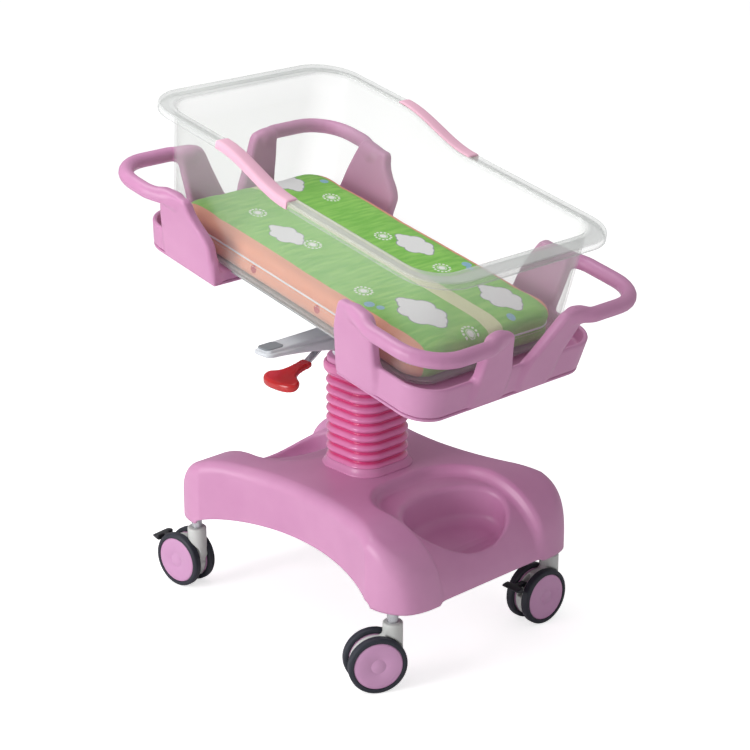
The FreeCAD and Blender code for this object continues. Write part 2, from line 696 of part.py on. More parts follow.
def bellows():
    """Pleated rubber sleeve, one rounded rib per pitch."""
    length = TOP_RING_Z - BELLOWS_BOTTOM_Z
    pitch = length / BELLOWS_RIBS
    outer = []
    for step in range(BELLOWS_RIBS * BELLOWS_RIB_SIDES + 1):
        phase = 2 * math.pi * step / BELLOWS_RIB_SIDES
        offset = -BELLOWS_RIB_DEPTH * (1 - math.cos(phase)) / 2
        outer.append((offset, BELLOWS_BOTTOM_Z + pitch * step / BELLOWS_RIB_SIDES))
    inner = [(offset - BELLOWS_WALL, z) for offset, z in reversed(outer)]
    return bellows_ring(outer + inner, BELLOWS_HALF, BELLOWS_CORNER_R)


def build_column_base():
    """Everything of the column that stays with the base."""
    foot = Vector(0, 0, PLATE_TOP_Z)
    outer_r, inner_r = OUTER_TUBE_DIA / 2, INNER_TUBE_DIA / 2
    tube_top = Vector(0, 0, OUTER_TUBE_TOP_Z)
    save("outer_column", on_mast(pipe(outer_r, outer_r - OUTER_TUBE_WALL, foot, tube_top)))
    bush = pipe(outer_r - OUTER_TUBE_WALL, inner_r + RUNNING_FIT, tube_top - UP * BUSH_LENGTH, tube_top)
    save("guide_bush", on_mast(bush))
    body_top = foot + UP * SPRING_BODY_LENGTH
    body_r = SPRING_BODY_DIA / 2
    body = rod(body_r, foot, body_top)
    bore = rod(body_r - SPRING_BODY_WALL, foot + UP * SPRING_BODY_WALL, body_top - UP * SPRING_BODY_WALL)
    seal_bore = rod(ROD_DIA / 2 + RUNNING_FIT, foot + UP * SPRING_BODY_WALL, body_top + UP)
    save("gas_spring_body", on_mast(body.cut(bore).cut(seal_bore)))
    collar = prism(COLLAR_HALF, COLLAR_HALF, BELLOWS_CORNER_R, BASE_TOP_Z, BELLOWS_BOTTOM_Z)
    collar = on_mast(collar.cut(rod(outer_r, foot, tube_top)))
    screws = []
    for top in collar_screw_places():
        screws.append(collar_screw(top))
        collar = collar.cut(screws[-1])
    save("bellows_collar", collar)
    save("collar_screws", Part.makeCompound(screws))
    save("bellows", on_mast(bellows()))


def build_mast():
    """Everything that rises with the bed but doesn't tilt."""
    inner_r = INNER_TUBE_DIA / 2
    head = Vector(0, 0, HEAD_BOTTOM_Z)
    tube = pipe(inner_r, inner_r - INNER_TUBE_WALL, (0, 0, INNER_TUBE_BOTTOM_Z), head)
    save("inner_column", on_mast(tube))
    cover_r = BELLOWS_CORNER_R - (BELLOWS_HALF - COVER_HALF)
    cover = prism(COVER_HALF, COVER_HALF, cover_r, TOP_RING_Z, HEAD_BOTTOM_Z)
    hollow = COVER_HALF - COVER_WALL
    cover = cover.cut(prism(hollow, hollow, cover_r - COVER_WALL, 0, HEAD_BOTTOM_Z - COVER_WALL))
    save("column_cover", on_mast(cover.cut(rod(inner_r, (0, 0, 0), head))))
    ring_r = BELLOWS_CORNER_R + (TOP_RING_HALF - BELLOWS_HALF)
    ring = prism(TOP_RING_HALF, TOP_RING_HALF, ring_r, TOP_RING_Z, TOP_RING_Z + TOP_RING_HEIGHT)
    ring = ring.makeFillet(TOP_RING_EDGE_R, level_edges(ring))
    ring = ring.cut(prism(COVER_HALF, COVER_HALF, cover_r, 0, TALL))
    save("bellows_top_ring", on_mast(ring))
    shaft = rod(ROD_DIA / 2, (0, 0, ROD_BOTTOM_Z), (0, 0, ROD_TOP_Z))
    piston_r = SPRING_BODY_DIA / 2 - SPRING_BODY_WALL - RUNNING_FIT
    piston = rod(piston_r, (0, 0, ROD_BOTTOM_Z), (0, 0, ROD_BOTTOM_Z + PISTON_THICK))
    pin_top = lever_tongue_bottom_z()
    pin_foot = pin_top - VALVE_PIN_LENGTH
    bore = rod(VALVE_PIN_DIA / 2 + RUNNING_FIT, (0, 0, pin_foot - VALVE_PIN_ROOM), (0, 0, TALL))
    save("gas_spring_rod", on_mast(fuse([shaft, piston]).cut(bore)))
    save("valve_pin", on_mast(rod(VALVE_PIN_DIA / 2, (0, 0, pin_foot), (0, 0, pin_top))))
    save("tilt_head", tilt_head())
    pad_y0 = -GRIP_LENGTH + GRIP_WALL
    pad_y1 = pad_y0 + GRIP_PAD_LENGTH
    pad_half = GRIP_WIDTH / 2 - GRIP_WALL
    pad_z = TILT_AXIS_Z + GRIP_TOP
    pad = box(-pad_half, pad_half, pad_y0, pad_y1, pad_z, pad_z + GRIP_PAD_THICK)
    save("grip_pad", on_mast(pad))
    half = GRIP_WIDTH / 2
    pivot = lever_pivot()
    pin = rod(LEVER_PIN_DIA / 2, pivot - ALONG_X * half, pivot + ALONG_X * half)
    save("lever_pin", on_mast(pin))
    save("tilt_pin", on_mast(tilt_pin()))
    washers = []
    for side in (-1, 1):
        start = Vector(0, side * LUG_HALF_WIDTH, TILT_AXIS_Z)
        end = Vector(0, side * (LUG_HALF_WIDTH + WASHER_THICK), TILT_AXIS_Z)
        washers.append(pipe(WASHER_R, TILT_PIN_DIA / 2, start, end))
    save("friction_washers", on_mast(Part.makeCompound(washers)))


def tilt_pin():
    """Pivot bolt with its head on the far cheek and its nut inside the grip arm."""
    shank = rod(TILT_PIN_DIA / 2, (0, -CHEEK_OUTER - TILT_PIN_HEAD, TILT_AXIS_Z),
                (0, CHEEK_OUTER, TILT_AXIS_Z))
    head = rod(TILT_PIN_HEAD_DIA / 2, (0, CHEEK_OUTER, TILT_AXIS_Z),
               (0, CHEEK_OUTER + TILT_PIN_HEAD, TILT_AXIS_Z))
    nut = rod(TILT_PIN_HEAD_DIA / 2, (0, -CHEEK_OUTER - TILT_PIN_HEAD, TILT_AXIS_Z),
              (0, -CHEEK_OUTER, TILT_AXIS_Z))
    return fuse([shank, head, nut])


def lever_pivot():
    """Hinge point of the release lever, under the root of the grip arm."""
    return Vector(0, -LEVER_PIVOT_OUT, TILT_AXIS_Z - LEVER_PIVOT_DOWN)


def lever_tongue_bottom_z():
    """Underside of the lever where it presses the valve pin."""
    return TILT_AXIS_Z - LEVER_PIVOT_DOWN - LEVER_BAR_THICK


def grip_side_view():
    """Outline of the grip arm: level on top, swelling below from the tip to the root."""
    top = TILT_AXIS_Z + GRIP_TOP
    middle_out = (GRIP_LENGTH + CHEEK_OUTER) / 2
    return [(-CHEEK_OUTER, top), (-GRIP_LENGTH, top), (-GRIP_LENGTH, top - GRIP_TIP_THICK),
            (-middle_out, top - GRIP_ROOT_THICK / 2), (-CHEEK_OUTER, top - GRIP_ROOT_THICK)]


def tilt_head():
    """Casting on the column: foot plate, two pivot cheeks and the hollow grip arm."""
    parts = [prism(HEAD_PLATE_HALF, HEAD_PLATE_HALF, HEAD_PLATE_CORNER_R, HEAD_BOTTOM_Z, HEAD_PLATE_TOP_Z)]
    for side in (-1, 1):
        y0, y1 = sorted((side * CHEEK_INNER, side * CHEEK_OUTER))
        parts.append(box(-CHEEK_R, CHEEK_R, y0, y1, HEAD_BOTTOM_Z, TILT_AXIS_Z))
        parts.append(rod(CHEEK_R, (0, y0, TILT_AXIS_Z), (0, y1, TILT_AXIS_Z)))
    top = TILT_AXIS_Z + GRIP_TOP
    half = GRIP_WIDTH / 2
    grip = outline_prism(grip_side_view(), ALONG_X, -half, GRIP_WIDTH)
    tip_edges = [edge for edge in grip.Edges
                 if edge.BoundBox.YMax < -GRIP_LENGTH + NEAR and edge.BoundBox.XLength < NEAR]
    grip = grip.makeFillet(GRIP_TIP_R, tip_edges)
    parts.append(grip)
    head = fuse(parts)
    hollow_half = half - GRIP_WALL
    hollow = box(-hollow_half, hollow_half, -GRIP_LENGTH + GRIP_WIDTH, -CHEEK_OUTER,
                 HEAD_PLATE_TOP_Z, top - GRIP_WALL)
    head = head.cut(hollow)
    slot_half = LEVER_BAR_WIDTH / 2 + LEVER_SLOT_GAP
    slot_top = TILT_AXIS_Z - LUG_R
    head = head.cut(box(-slot_half, slot_half, -CHEEK_OUTER, 0, HEAD_PLATE_TOP_Z, slot_top))
    pivot = lever_pivot()
    head = head.cut(rod(LEVER_PIN_DIA / 2, pivot - ALONG_X * half, pivot + ALONG_X * half))
    pin_end = Vector(0, CHEEK_OUTER, 0)
    head = head.cut(rod(TILT_PIN_DIA / 2, UP * TILT_AXIS_Z - pin_end, UP * TILT_AXIS_Z + pin_end))
    head = head.cut(rod(ROD_DIA / 2, (0, 0, HEAD_BOTTOM_Z), (0, 0, HEAD_PLATE_TOP_Z)))
    return on_mast(head)


# ---------------------------------------------------------------- release lever
def lever_bar():
    """Bent flat bar from above the valve pin to the paddle."""
    axis_z = TILT_AXIS_Z
    half = LEVER_BAR_THICK / 2
    level = axis_z - LEVER_PIVOT_DOWN - half
    middle = [(LEVER_TONGUE_PAST, level), (-LEVER_PIVOT_OUT, level),
              (-LEVER_BEND_OUT, axis_z - LEVER_BEND_DOWN), (-LEVER_END_OUT, axis_z - LEVER_END_DOWN)]
    upper = [(y, z + half) for y, z in middle]
    lower = [(y, z - half) for y, z in reversed(middle)]
    bar = outline_prism(upper + lower, ALONG_X, -LEVER_BAR_WIDTH / 2, LEVER_BAR_WIDTH)
    pivot = lever_pivot()
    reach = ALONG_X * (LEVER_BAR_WIDTH / 2)
    eye = rod(LEVER_PIN_DIA, pivot - reach, pivot + reach)
    pin_hole = rod(LEVER_PIN_DIA / 2 + RUNNING_FIT, pivot - reach, pivot + reach)
    return on_mast(fuse([bar, eye]).cut(pin_hole))


def lever_paddle():
    """Fan-shaped squeeze paddle pushed over the end of the bar."""
    sections = []
    root_out = LEVER_END_OUT - LEVER_BAR_WIDTH
    root_z = TILT_AXIS_Z - LEVER_END_DOWN + LEVER_BAR_WIDTH / 2
    tip_z = TILT_AXIS_Z - PADDLE_TIP_DOWN
    stations = [(root_out, PADDLE_NECK_WIDTH, PADDLE_NECK_THICK),
                (PADDLE_WAIST_OUT, PADDLE_WAIST_WIDTH, PADDLE_NECK_THICK),
                (PADDLE_SHOULDER_OUT, PADDLE_SHOULDER_WIDTH, PADDLE_THICK),
                (PADDLE_TIP_OUT, PADDLE_WIDTH, PADDLE_NECK_THICK)]
    for out, width, thick in stations:
        share = (out - root_out) / (PADDLE_TIP_OUT - root_out)
        wire = rounded_rectangle(width / 2, thick / 2, thick * PADDLE_ROUNDING)
        wire.rotate(Vector(0, 0, 0), ALONG_X, 90)
        wire.translate(Vector(0, -out, root_z + (tip_z - root_z) * share))
        sections.append(wire)
    paddle = Part.makeLoft(sections, True, False)
    return on_mast(paddle).cut(lever_bar())


# ---------------------------------------------------------------- deck
def put_on_deck(shape):
    """Tip a piece that was drawn level and put it on the tilt axis."""
    moved = shape.copy()
    moved.rotate(Vector(0, 0, 0), ALONG_Y, DECK_ANGLE)
    moved.translate(Vector(MAST_X, 0, TILT_AXIS_Z))
    return moved


def deck_centred(shape):
    """Move a piece drawn about the deck centre to its place along the deck."""
    moved = shape.copy()
    moved.translate(Vector(DECK_CENTRE_X, 0, 0))
    return moved


def box_tube(x0, x1, y0, y1, z0, z1, wall, along_x):
    """Rectangular tube, open at the ends of its long direction."""
    outside = box(x0, x1, y0, y1, z0, z1)
    if along_x:
        return outside.cut(box(x0, x1, y0 + wall, y1 - wall, z0 + wall, z1 - wall))
    return outside.cut(box(x0 + wall, x1 - wall, y0, y1, z0 + wall, z1 - wall))


def deck_frame():
    """Two long rails and two crossbars on a plate with the pivot lug."""
    half = RAIL_WIDTH / 2
    pieces = []
    for side in (-1, 1):
        rail = box_tube(-RAIL_END, RAIL_END, side * RAIL_Y - half, side * RAIL_Y + half,
                        RAIL_BOTTOM, RAIL_TOP, RAIL_WALL, True)
        pieces.append(deck_centred(rail))
        bar_x = side * CROSSBAR_X
        pieces.append(box_tube(bar_x - half, bar_x + half, -RAIL_Y + half, RAIL_Y - half,
                               RAIL_BOTTOM, RAIL_TOP, RAIL_WALL, False))
    plate_half = LUG_PLATE_LENGTH / 2
    plate_y = RAIL_Y + half
    pieces.append(box(-plate_half, plate_half, -plate_y, plate_y,
                      RAIL_BOTTOM - LUG_PLATE_THICK, RAIL_BOTTOM))
    pieces.append(rod(LUG_R, (0, -LUG_HALF_WIDTH, 0), (0, LUG_HALF_WIDTH, 0)))
    neck_half = LUG_NECK_WIDTH / 2
    pieces.append(box(-neck_half, neck_half, -LUG_HALF_WIDTH, LUG_HALF_WIDTH,
                      0, RAIL_BOTTOM - LUG_PLATE_THICK))
    frame = fuse(pieces)
    return frame.cut(rod(TILT_PIN_DIA / 2 + RUNNING_FIT, (0, -TALL, 0), (0, TALL, 0)))


def tray_slice(end, z0, z1, inset=0.0, cut_back=0.0):
    """Part of the flared tray outline from its open end to its round end."""
    rings = []
    for z in (z0, z1):
        grown = (z - RAIL_BOTTOM) * TRAY_SPREAD - inset
        rings.append(rounded_rectangle(end.reach + grown, TRAY_HALF_WIDTH + grown,
                                       TRAY_CORNER_R + grown, z))
    block = Part.makeLoft(rings, True, True)
    return block.common(box(end.start + cut_back, TALL, -TALL, TALL, z0, z1))


def leaning_post(view, direction, foot_out):
    """Post cut from a plate that leans out from its foot, with a rounded top and softened edges."""
    corners = []
    for along, up in view:
        inner = foot_out + (up - RAIL_BOTTOM) * POST_SPREAD - POST_THICK
        corners.append(Vector(along, inner, up) if direction is ALONG_Y else Vector(inner, along, up))
    post = Part.Face(Part.makePolygon(corners + corners[:1])).extrude(direction * POST_THICK)

    def runs_through(edge):
        bounds = edge.BoundBox
        other = bounds.XLength if direction is ALONG_Y else bounds.YLength
        return max(bounds.ZLength, other) < LEVEL_WITHIN
    tops = [edge for edge in post.Edges if runs_through(edge) and edge.BoundBox.ZMin > TRAY_WALL_TOP]
    post = post.makeFillet(POST_TOP_R, tops)
    rims = [edge for edge in post.Edges if not runs_through(edge)
            and edge.BoundBox.ZMax > TRAY_WALL_TOP + POST_FOOT_UP]
    return post.makeFillet(POST_EDGE_R, rims)


def post_top(top_start, top_length):
    """The rounded top of a post in side view, as its four corners."""
    top_end = top_start + top_length
    shoulder = POST_TOP - POST_TOP_R
    return [(top_start - POST_TOP_LEAN, shoulder), (top_start + POST_TOP_LEAN, POST_TOP),
            (top_end - POST_TOP_LEAN, POST_TOP), (top_end + POST_TOP_LEAN, shoulder)]


def side_post(end):
    """Post at the open end of a tray side, drawn on the +Y side."""
    foot_end = end.start + end.post_length
    view = [(end.start, RAIL_BOTTOM), (end.start, TRAY_WALL_TOP + POST_START_UP)]
    view += post_top(end.start + end.rise, SIDE_POST_TOP_LENGTH)
    view.append((foot_end, RAIL_BOTTOM))
    return leaning_post(view, ALONG_Y, TRAY_HALF_WIDTH + POST_FOOT_PROUD)


def end_post(end):
    """Post on the round end of a tray, drawn on the +Y side."""
    view = [(END_POST_INNER_Y, RAIL_BOTTOM), (END_POST_INNER_Y, TRAY_WALL_TOP + POST_FOOT_UP)]
    view += post_top(END_POST_INNER_Y + END_POST_RISE, END_POST_TOP_LENGTH)
    view.append((END_POST_OUTER_Y, RAIL_BOTTOM))
    return leaning_post(view, ALONG_X, end.reach + POST_FOOT_PROUD)


def tray(end):
    """End tray with a floor, a flared wall and four leaning posts, drawn for the foot end."""
    inside = tray_slice(end, 0, TALL, TRAY_WALL)
    wall = tray_slice(end, RAIL_BOTTOM, TRAY_WALL_TOP).cut(inside)
    floor = tray_slice(end, RAIL_TOP, DECK_TOP, TRAY_WALL / 2)
    apron = tray_slice(end, RAIL_BOTTOM, DECK_TOP, TRAY_WALL / 2)
    apron = apron.common(box(end.start, end.start + TRAY_WALL, -TALL, TALL, 0, TALL))
    posts = [side_post(end), mirrored(side_post(end), ALONG_Y)]
    posts += [end_post(end), mirrored(end_post(end), ALONG_Y)]
    body = fuse([wall, floor, apron] + posts)
    body = body.cut(inside.common(box(end.start + TRAY_WALL, TALL, -TALL, TALL, 0, RAIL_TOP)))
    half = RAIL_WIDTH / 2
    for side in (-1, 1):
        mid_y = side * RAIL_Y
        body = body.cut(box(0, RAIL_END, mid_y - half, mid_y + half, RAIL_BOTTOM, RAIL_TOP))
    return body


def handle(end):
    """Round bar that swings out round a tray corner, from the side post to the end post."""
    side_x = end.start + end.rise + SIDE_POST_TOP_LENGTH / 2
    end_y = END_POST_INNER_Y + END_POST_RISE + END_POST_TOP_LENGTH / 2
    side_y = TRAY_HALF_WIDTH + POST_OUT_AT_BAR
    end_x = end.reach + POST_OUT_AT_BAR
    bar_x = end.reach + BAR_END_REACH
    corners = [Vector(side_x, side_y, BAR_HEIGHT),
               Vector(side_x + BAR_BLEND_R, BAR_SIDE_OUT, BAR_HEIGHT),
               Vector(bar_x, BAR_SIDE_OUT, BAR_HEIGHT),
               Vector(bar_x, end_y + BAR_END_BLEND_R, BAR_HEIGHT),
               Vector(end_x, end_y, BAR_HEIGHT)]
    radii = [BAR_BLEND_R, BAR_CORNER_R, BAR_END_BLEND_R]
    edges = []
    last = corners[0]
    for before, corner, after, radius in zip(corners, corners[1:], corners[2:], radii):
        to_before = (before - corner).normalize()
        to_after = (after - corner).normalize()
        half_angle = to_before.getAngle(to_after) / 2
        setback = radius / math.tan(half_angle)
        middle = (to_before + to_after).normalize()
        arc_mid = corner + middle * (radius / math.sin(half_angle) - radius)
        arc_start, arc_end = corner + to_before * setback, corner + to_after * setback
        edges.append(Part.makeLine(last, arc_start))
        edges.append(Part.Arc(arc_start, arc_mid, arc_end).toShape())
        last = arc_end
    edges.append(Part.makeLine(last, corners[-1]))
    section = Part.Wire(Part.Circle(corners[0], corners[1] - corners[0], BAR_DIA / 2).toShape())
    bar = Part.Wire(edges).makePipeShell([section], True, False)
    return bar.cut(post_room(end))


def post_room(end):
    """Space taken by the two posts that a bar runs into."""
    return side_post(end).fuse(end_post(end))


def tray_screws(end):
    """Screws that hold a tray and its base plate to the rails."""
    bottom = RAIL_BOTTOM - end.base_thick
    screws = []
    for x in (end.start + RAIL_WIDTH, end.reach - TRAY_CORNER_R):
        for side in (-1, 1):
            head = Vector(x, side * RAIL_Y, bottom - SCREW_HEAD_HEIGHT)
            seat = Vector(x, side * RAIL_Y, bottom)
            tip = Vector(x, side * RAIL_Y, RAIL_BOTTOM + RAIL_WALL)
            screws.append(fuse([rod(SCREW_HEAD_DIA / 2, head, seat), rod(SCREW_DIA / 2, seat, tip)]))
    return screws


TrayEnd = namedtuple("TrayEnd", "name direction start reach base_thick post_length rise")
FOOT_END = TrayEnd("foot", 1, FOOT_TRAY_START, FOOT_TRAY_END, FOOT_BASE_THICK,
                   FOOT_POST_LENGTH, FOOT_POST_RISE)
HEAD_END = TrayEnd("head", -1, HEAD_TRAY_START, HEAD_TRAY_END, HEAD_BASE_THICK,
                   HEAD_POST_LENGTH, HEAD_POST_RISE)


def placed_at(end, shape):
    """Put a foot-end drawing at one end of the deck."""
    at_end = shape if end.direction > 0 else mirrored(shape, ALONG_X)
    return put_on_deck(deck_centred(at_end))


def build_deck():
    """Frame, panel, trays, handles and their screws."""
    all_screws = []
    for end in (FOOT_END, HEAD_END):
        base = tray_slice(end, RAIL_BOTTOM - end.base_thick, RAIL_BOTTOM)
        for fixing in tray_screws(end):
            base = base.cut(fixing)
            all_screws.append(placed_at(end, fixing))
        save(end.name + "_tray", placed_at(end, tray(end)))
        save(end.name + "_tray_base", placed_at(end, base))
        bar = max(handle(end).Solids, key=lambda solid: solid.Volume)
        save("handle_" + end.name + "_far", placed_at(end, bar))
        save("handle_" + end.name + "_near", placed_at(end, mirrored(bar, ALONG_Y)))
    frame = put_on_deck(deck_frame())
    for fixing in all_screws:
        frame = frame.cut(fixing)
    save("deck_frame", frame)
    save("tray_screws", Part.makeCompound(all_screws))
    half_width = TUB_BOTTOM_HALF_WIDTH - DECK_PANEL_INSET
    panel = box(-HEAD_TRAY_START, FOOT_TRAY_START, -half_width, half_width, RAIL_TOP, DECK_TOP)
    save("deck_panel", put_on_deck(deck_centred(panel)))


# ---------------------------------------------------------------- tub and mattress
def rim_band(below, above):
    """Space from below to above the stepped rim line, in side view, over the whole width."""
    high, low = RIM_HIGH, RIM_LOW
    start, end = RIM_STEP_START, RIM_STEP_START + RIM_STEP_LENGTH
    radius = (RIM_STEP_LENGTH ** 2 / 4 + RIM_STEP ** 2 / 4) / RIM_STEP
    turn = math.asin(RIM_STEP_LENGTH / 2 / radius) / 2
    knee_x, knee_z = radius * math.sin(turn), radius * (1 - math.cos(turn))

    def line(shift):
        """The rim line moved up by shift, as joined edges from head to foot."""
        def at(x, z):
            return Vector(x, -TALL, z + shift)
        middle = at((start + end) / 2, (high + low) / 2)
        return [Part.makeLine(at(-TALL, high), at(start, high)),
                Part.Arc(at(start, high), at(start + knee_x, high - knee_z), middle).toShape(),
                Part.Arc(middle, at(end - knee_x, low + knee_z), at(end, low)).toShape(),
                Part.makeLine(at(end, low), at(TALL, low))]

    sides = [Part.makeLine(Vector(x, -TALL, z + below), Vector(x, -TALL, z + above))
             for x, z in ((-TALL, high), (TALL, low))]
    face = Part.Face(Part.Wire(Part.__sortEdges__(line(below) + line(above) + sides)))
    return face.extrude(ALONG_Y * (2 * TALL))


def tub_body(inset):
    """Tapered tub block from its bottom up past the rim, inset from the outer skin."""
    floor_z = DECK_TOP + inset
    rings = []
    for z, half_x, half_y in ((floor_z, TUB_BOTTOM_HALF_LENGTH, TUB_BOTTOM_HALF_WIDTH),
                              (RIM_HIGH, TUB_TOP_HALF_LENGTH, TUB_TOP_HALF_WIDTH)):
        rings.append(rounded_rectangle(half_x - inset, half_y - inset, TUB_CORNER_R - inset, z))
    block = Part.makeLoft(rings, True, True)
    floor_edges = [edge for edge in block.Edges if edge.BoundBox.ZMax < floor_z + LEVEL_WITHIN]
    return block.makeFillet(TUB_FLOOR_R - inset, floor_edges)


def tub():
    """Clear tub with a stepped rim, a flat flange and a turned-down lip."""
    below_rim = rim_band(-TALL, 0)
    walls = tub_body(0).cut(tub_body(TUB_WALL)).common(below_rim)
    rim_r = TUB_CORNER_R + RIM_FLANGE_SIDE
    outer = prism(RIM_HALF_LENGTH, RIM_HALF_WIDTH, rim_r, 0, TALL)
    opening = prism(TUB_TOP_HALF_LENGTH - TUB_WALL / 2, TUB_TOP_HALF_WIDTH - TUB_WALL / 2,
                    TUB_CORNER_R - TUB_WALL / 2, 0, TALL)
    flange = outer.cut(opening).common(rim_band(-TUB_WALL, 0))
    inside_lip = prism(RIM_HALF_LENGTH - TUB_WALL, RIM_HALF_WIDTH - TUB_WALL,
                       rim_r - TUB_WALL, 0, TALL)
    lip = outer.cut(inside_lip).common(rim_band(-RIM_LIP, 0))
    return fuse([walls, flange, lip]).cut(tub_body(TUB_WALL))


def grip_strip():
    """Soft sleeve over the stepped part of the rim, on the +Y side."""
    out = RIM_HALF_WIDTH + GRIP_STRIP_OVER
    start = RIM_STEP_START - GRIP_STRIP_EXTRA
    end = RIM_STEP_START + RIM_STEP_LENGTH + GRIP_STRIP_EXTRA
    sleeve = box(start, end, TUB_TOP_HALF_WIDTH, out, 0, TALL)
    sleeve = sleeve.common(rim_band(-RIM_LIP, GRIP_STRIP_OVER))
    filled = box(start, end, 0, RIM_HALF_WIDTH, 0, TALL).common(rim_band(-RIM_LIP, 0))
    sleeve = sleeve.cut(filled)
    return sleeve


def mattress():
    """Foam mattress with soft edges, lying in the tub."""
    bottom = TUB_FLOOR + SOFT_CLEARANCE
    block = prism(TUB_BOTTOM_HALF_LENGTH - TUB_WALL - MATTRESS_END_GAP,
                  TUB_BOTTOM_HALF_WIDTH - TUB_WALL - MATTRESS_SIDE_GAP,
                  TUB_CORNER_R - TUB_WALL - MATTRESS_SIDE_GAP, bottom, bottom + MATTRESS_THICK)
    return block.makeFillet(TUB_FLOOR_R - TUB_WALL, level_edges(block))


def build_tub():
    """Tub, its two grip strips and the mattress."""
    save("tub", put_on_deck(deck_centred(tub())))
    strip = grip_strip()
    save("grip_strip_far", put_on_deck(deck_centred(strip)))
    save("grip_strip_near", put_on_deck(deck_centred(mirrored(strip, ALONG_Y))))
    save("mattress", put_on_deck(deck_centred(mattress())))


# ---------------------------------------------------------------- write every piece
os.makedirs("parts", exist_ok=True)
build_casters()
save("base_shell", base_shell())
save("chassis", chassis())
build_column_base()
build_mast()
save("lever_bar", lever_bar())
save("lever_paddle", lever_paddle())
build_deck()
build_tub()
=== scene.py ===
# %% [markdown]
# # A hospital bassinet on a gas-spring column
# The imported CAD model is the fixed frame. Each step below dresses one part of it: first its real
# shape is named, then how it could be made in Blender, then why this way was chosen.
# Sizes are written in millimetres, as on the drawing, and MM turns them into metres at the end.

# %% Load the frame
import math

import bmesh
import bpy
import numpy as np
from mathutils import Matrix, Vector
from mathutils.bvhtree import BVHTree


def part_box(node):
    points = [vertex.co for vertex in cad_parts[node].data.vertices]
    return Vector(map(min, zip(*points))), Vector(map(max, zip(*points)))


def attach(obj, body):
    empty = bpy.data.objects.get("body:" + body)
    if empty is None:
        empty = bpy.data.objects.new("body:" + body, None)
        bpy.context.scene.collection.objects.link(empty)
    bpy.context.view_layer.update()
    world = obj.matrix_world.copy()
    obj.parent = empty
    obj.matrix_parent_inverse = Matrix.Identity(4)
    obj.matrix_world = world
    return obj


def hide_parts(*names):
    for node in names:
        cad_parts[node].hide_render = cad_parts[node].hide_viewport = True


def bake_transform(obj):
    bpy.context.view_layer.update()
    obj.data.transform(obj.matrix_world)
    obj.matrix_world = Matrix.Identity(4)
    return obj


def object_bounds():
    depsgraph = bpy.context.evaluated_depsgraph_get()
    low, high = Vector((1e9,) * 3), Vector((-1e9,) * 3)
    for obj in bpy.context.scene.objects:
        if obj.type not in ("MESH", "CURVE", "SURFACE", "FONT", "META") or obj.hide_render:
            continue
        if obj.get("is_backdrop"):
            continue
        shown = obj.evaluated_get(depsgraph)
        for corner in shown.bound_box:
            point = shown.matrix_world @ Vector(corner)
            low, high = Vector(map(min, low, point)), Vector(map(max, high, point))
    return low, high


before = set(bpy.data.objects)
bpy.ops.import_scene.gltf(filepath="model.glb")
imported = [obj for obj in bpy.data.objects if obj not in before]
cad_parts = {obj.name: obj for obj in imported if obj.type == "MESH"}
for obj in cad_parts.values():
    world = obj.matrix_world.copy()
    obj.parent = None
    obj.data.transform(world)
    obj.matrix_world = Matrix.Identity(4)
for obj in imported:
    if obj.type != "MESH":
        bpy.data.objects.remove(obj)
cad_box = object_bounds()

MM = 0.001

# %% [markdown]
# ## Moulded skins from distance fields
# Rotomoulded plastic has no sharp edge anywhere: every wall runs into the next through a fillet.
# Bevels on a boolean mesh break where three fillets meet, so the moulded pieces are written as
# distance fields instead. A field is negative inside the plastic, and `both` and `either` join two
# fields with a true round of the given radius. `skin` finds the zero level on a grid with one
# vertex a cell, then slides each vertex on to the exact surface.

# %% Field joints
def both(a, b, radius):
    """Where two fields overlap, with the outer edge rounded."""
    inner = np.minimum(np.maximum(a, b), -radius)
    return inner + np.hypot(np.maximum(a + radius, 0), np.maximum(b + radius, 0))


def either(a, b, radius):
    """Two fields together, with the inner corner filleted."""
    return -both(-a, -b, radius)


def carve(a, b, radius):
    """Field a with field b taken out, and a rounded rim."""
    return both(a, -b, radius)


# %% Field shapes
def rounded_plan(x, y, half_x, half_y, radius):
    """Rectangle with round corners, centred on the origin."""
    px, py = np.abs(x) - half_x + radius, np.abs(y) - half_y + radius
    return np.minimum(np.maximum(px, py), 0) + np.hypot(np.maximum(px, 0), np.maximum(py, 0)) - radius


def between(value, low, high):
    """Slab between two planes."""
    return np.abs(value - (low + high) / 2) - (high - low) / 2


def oval(px, py, half_x, half_y):
    """Ellipse, near enough to a true distance close to its edge."""
    near = np.hypot(px / half_x, py / half_y)
    slope = np.hypot(px / half_x ** 2, py / half_y ** 2)
    return near * (near - 1) / np.maximum(slope, 1e-9)


def outline(points, a, b):
    """Closed outline of (a, b) points."""
    nearest, inside = 1e9, False
    for (a0, b0), (a1, b1) in zip(points, np.roll(points, -1, axis=0)):
        run_a, run_b = a1 - a0, b1 - b0
        from_a, from_b = a - a0, b - b0
        share = np.clip((from_a * run_a + from_b * run_b) / (run_a ** 2 + run_b ** 2), 0, 1)
        nearest = np.minimum(nearest, (from_a - run_a * share) ** 2 + (from_b - run_b * share) ** 2)
        if run_b:
            inside = inside ^ (((b0 > b) != (b1 > b)) & (from_a < run_a * from_b / run_b))
    return np.where(inside, -1, 1) * np.sqrt(nearest)


def softened(points, rounds=3):
    """Cut the corners of a closed outline again and again, until it is a smooth curve."""
    points = np.array(points, float)
    for _ in range(rounds):
        following = np.roll(points, -1, axis=0)
        points = np.stack([points * 0.75 + following * 0.25, points * 0.25 + following * 0.75], 1)
        points = points.reshape(-1, 2)
    return points


def path_distance(points, x, y, z):
    """Distance from a line of points in space."""
    nearest = 1e9
    for start, end in zip(points, points[1:]):
        run = end - start
        parts = [value - first for value, first in zip((x, y, z), start)]
        share = np.clip(sum(p * r for p, r in zip(parts, run)) / (run @ run), 0, 1)
        nearest = np.minimum(nearest, sum((p - r * share) ** 2 for p, r in zip(parts, run)))
    return np.sqrt(nearest)


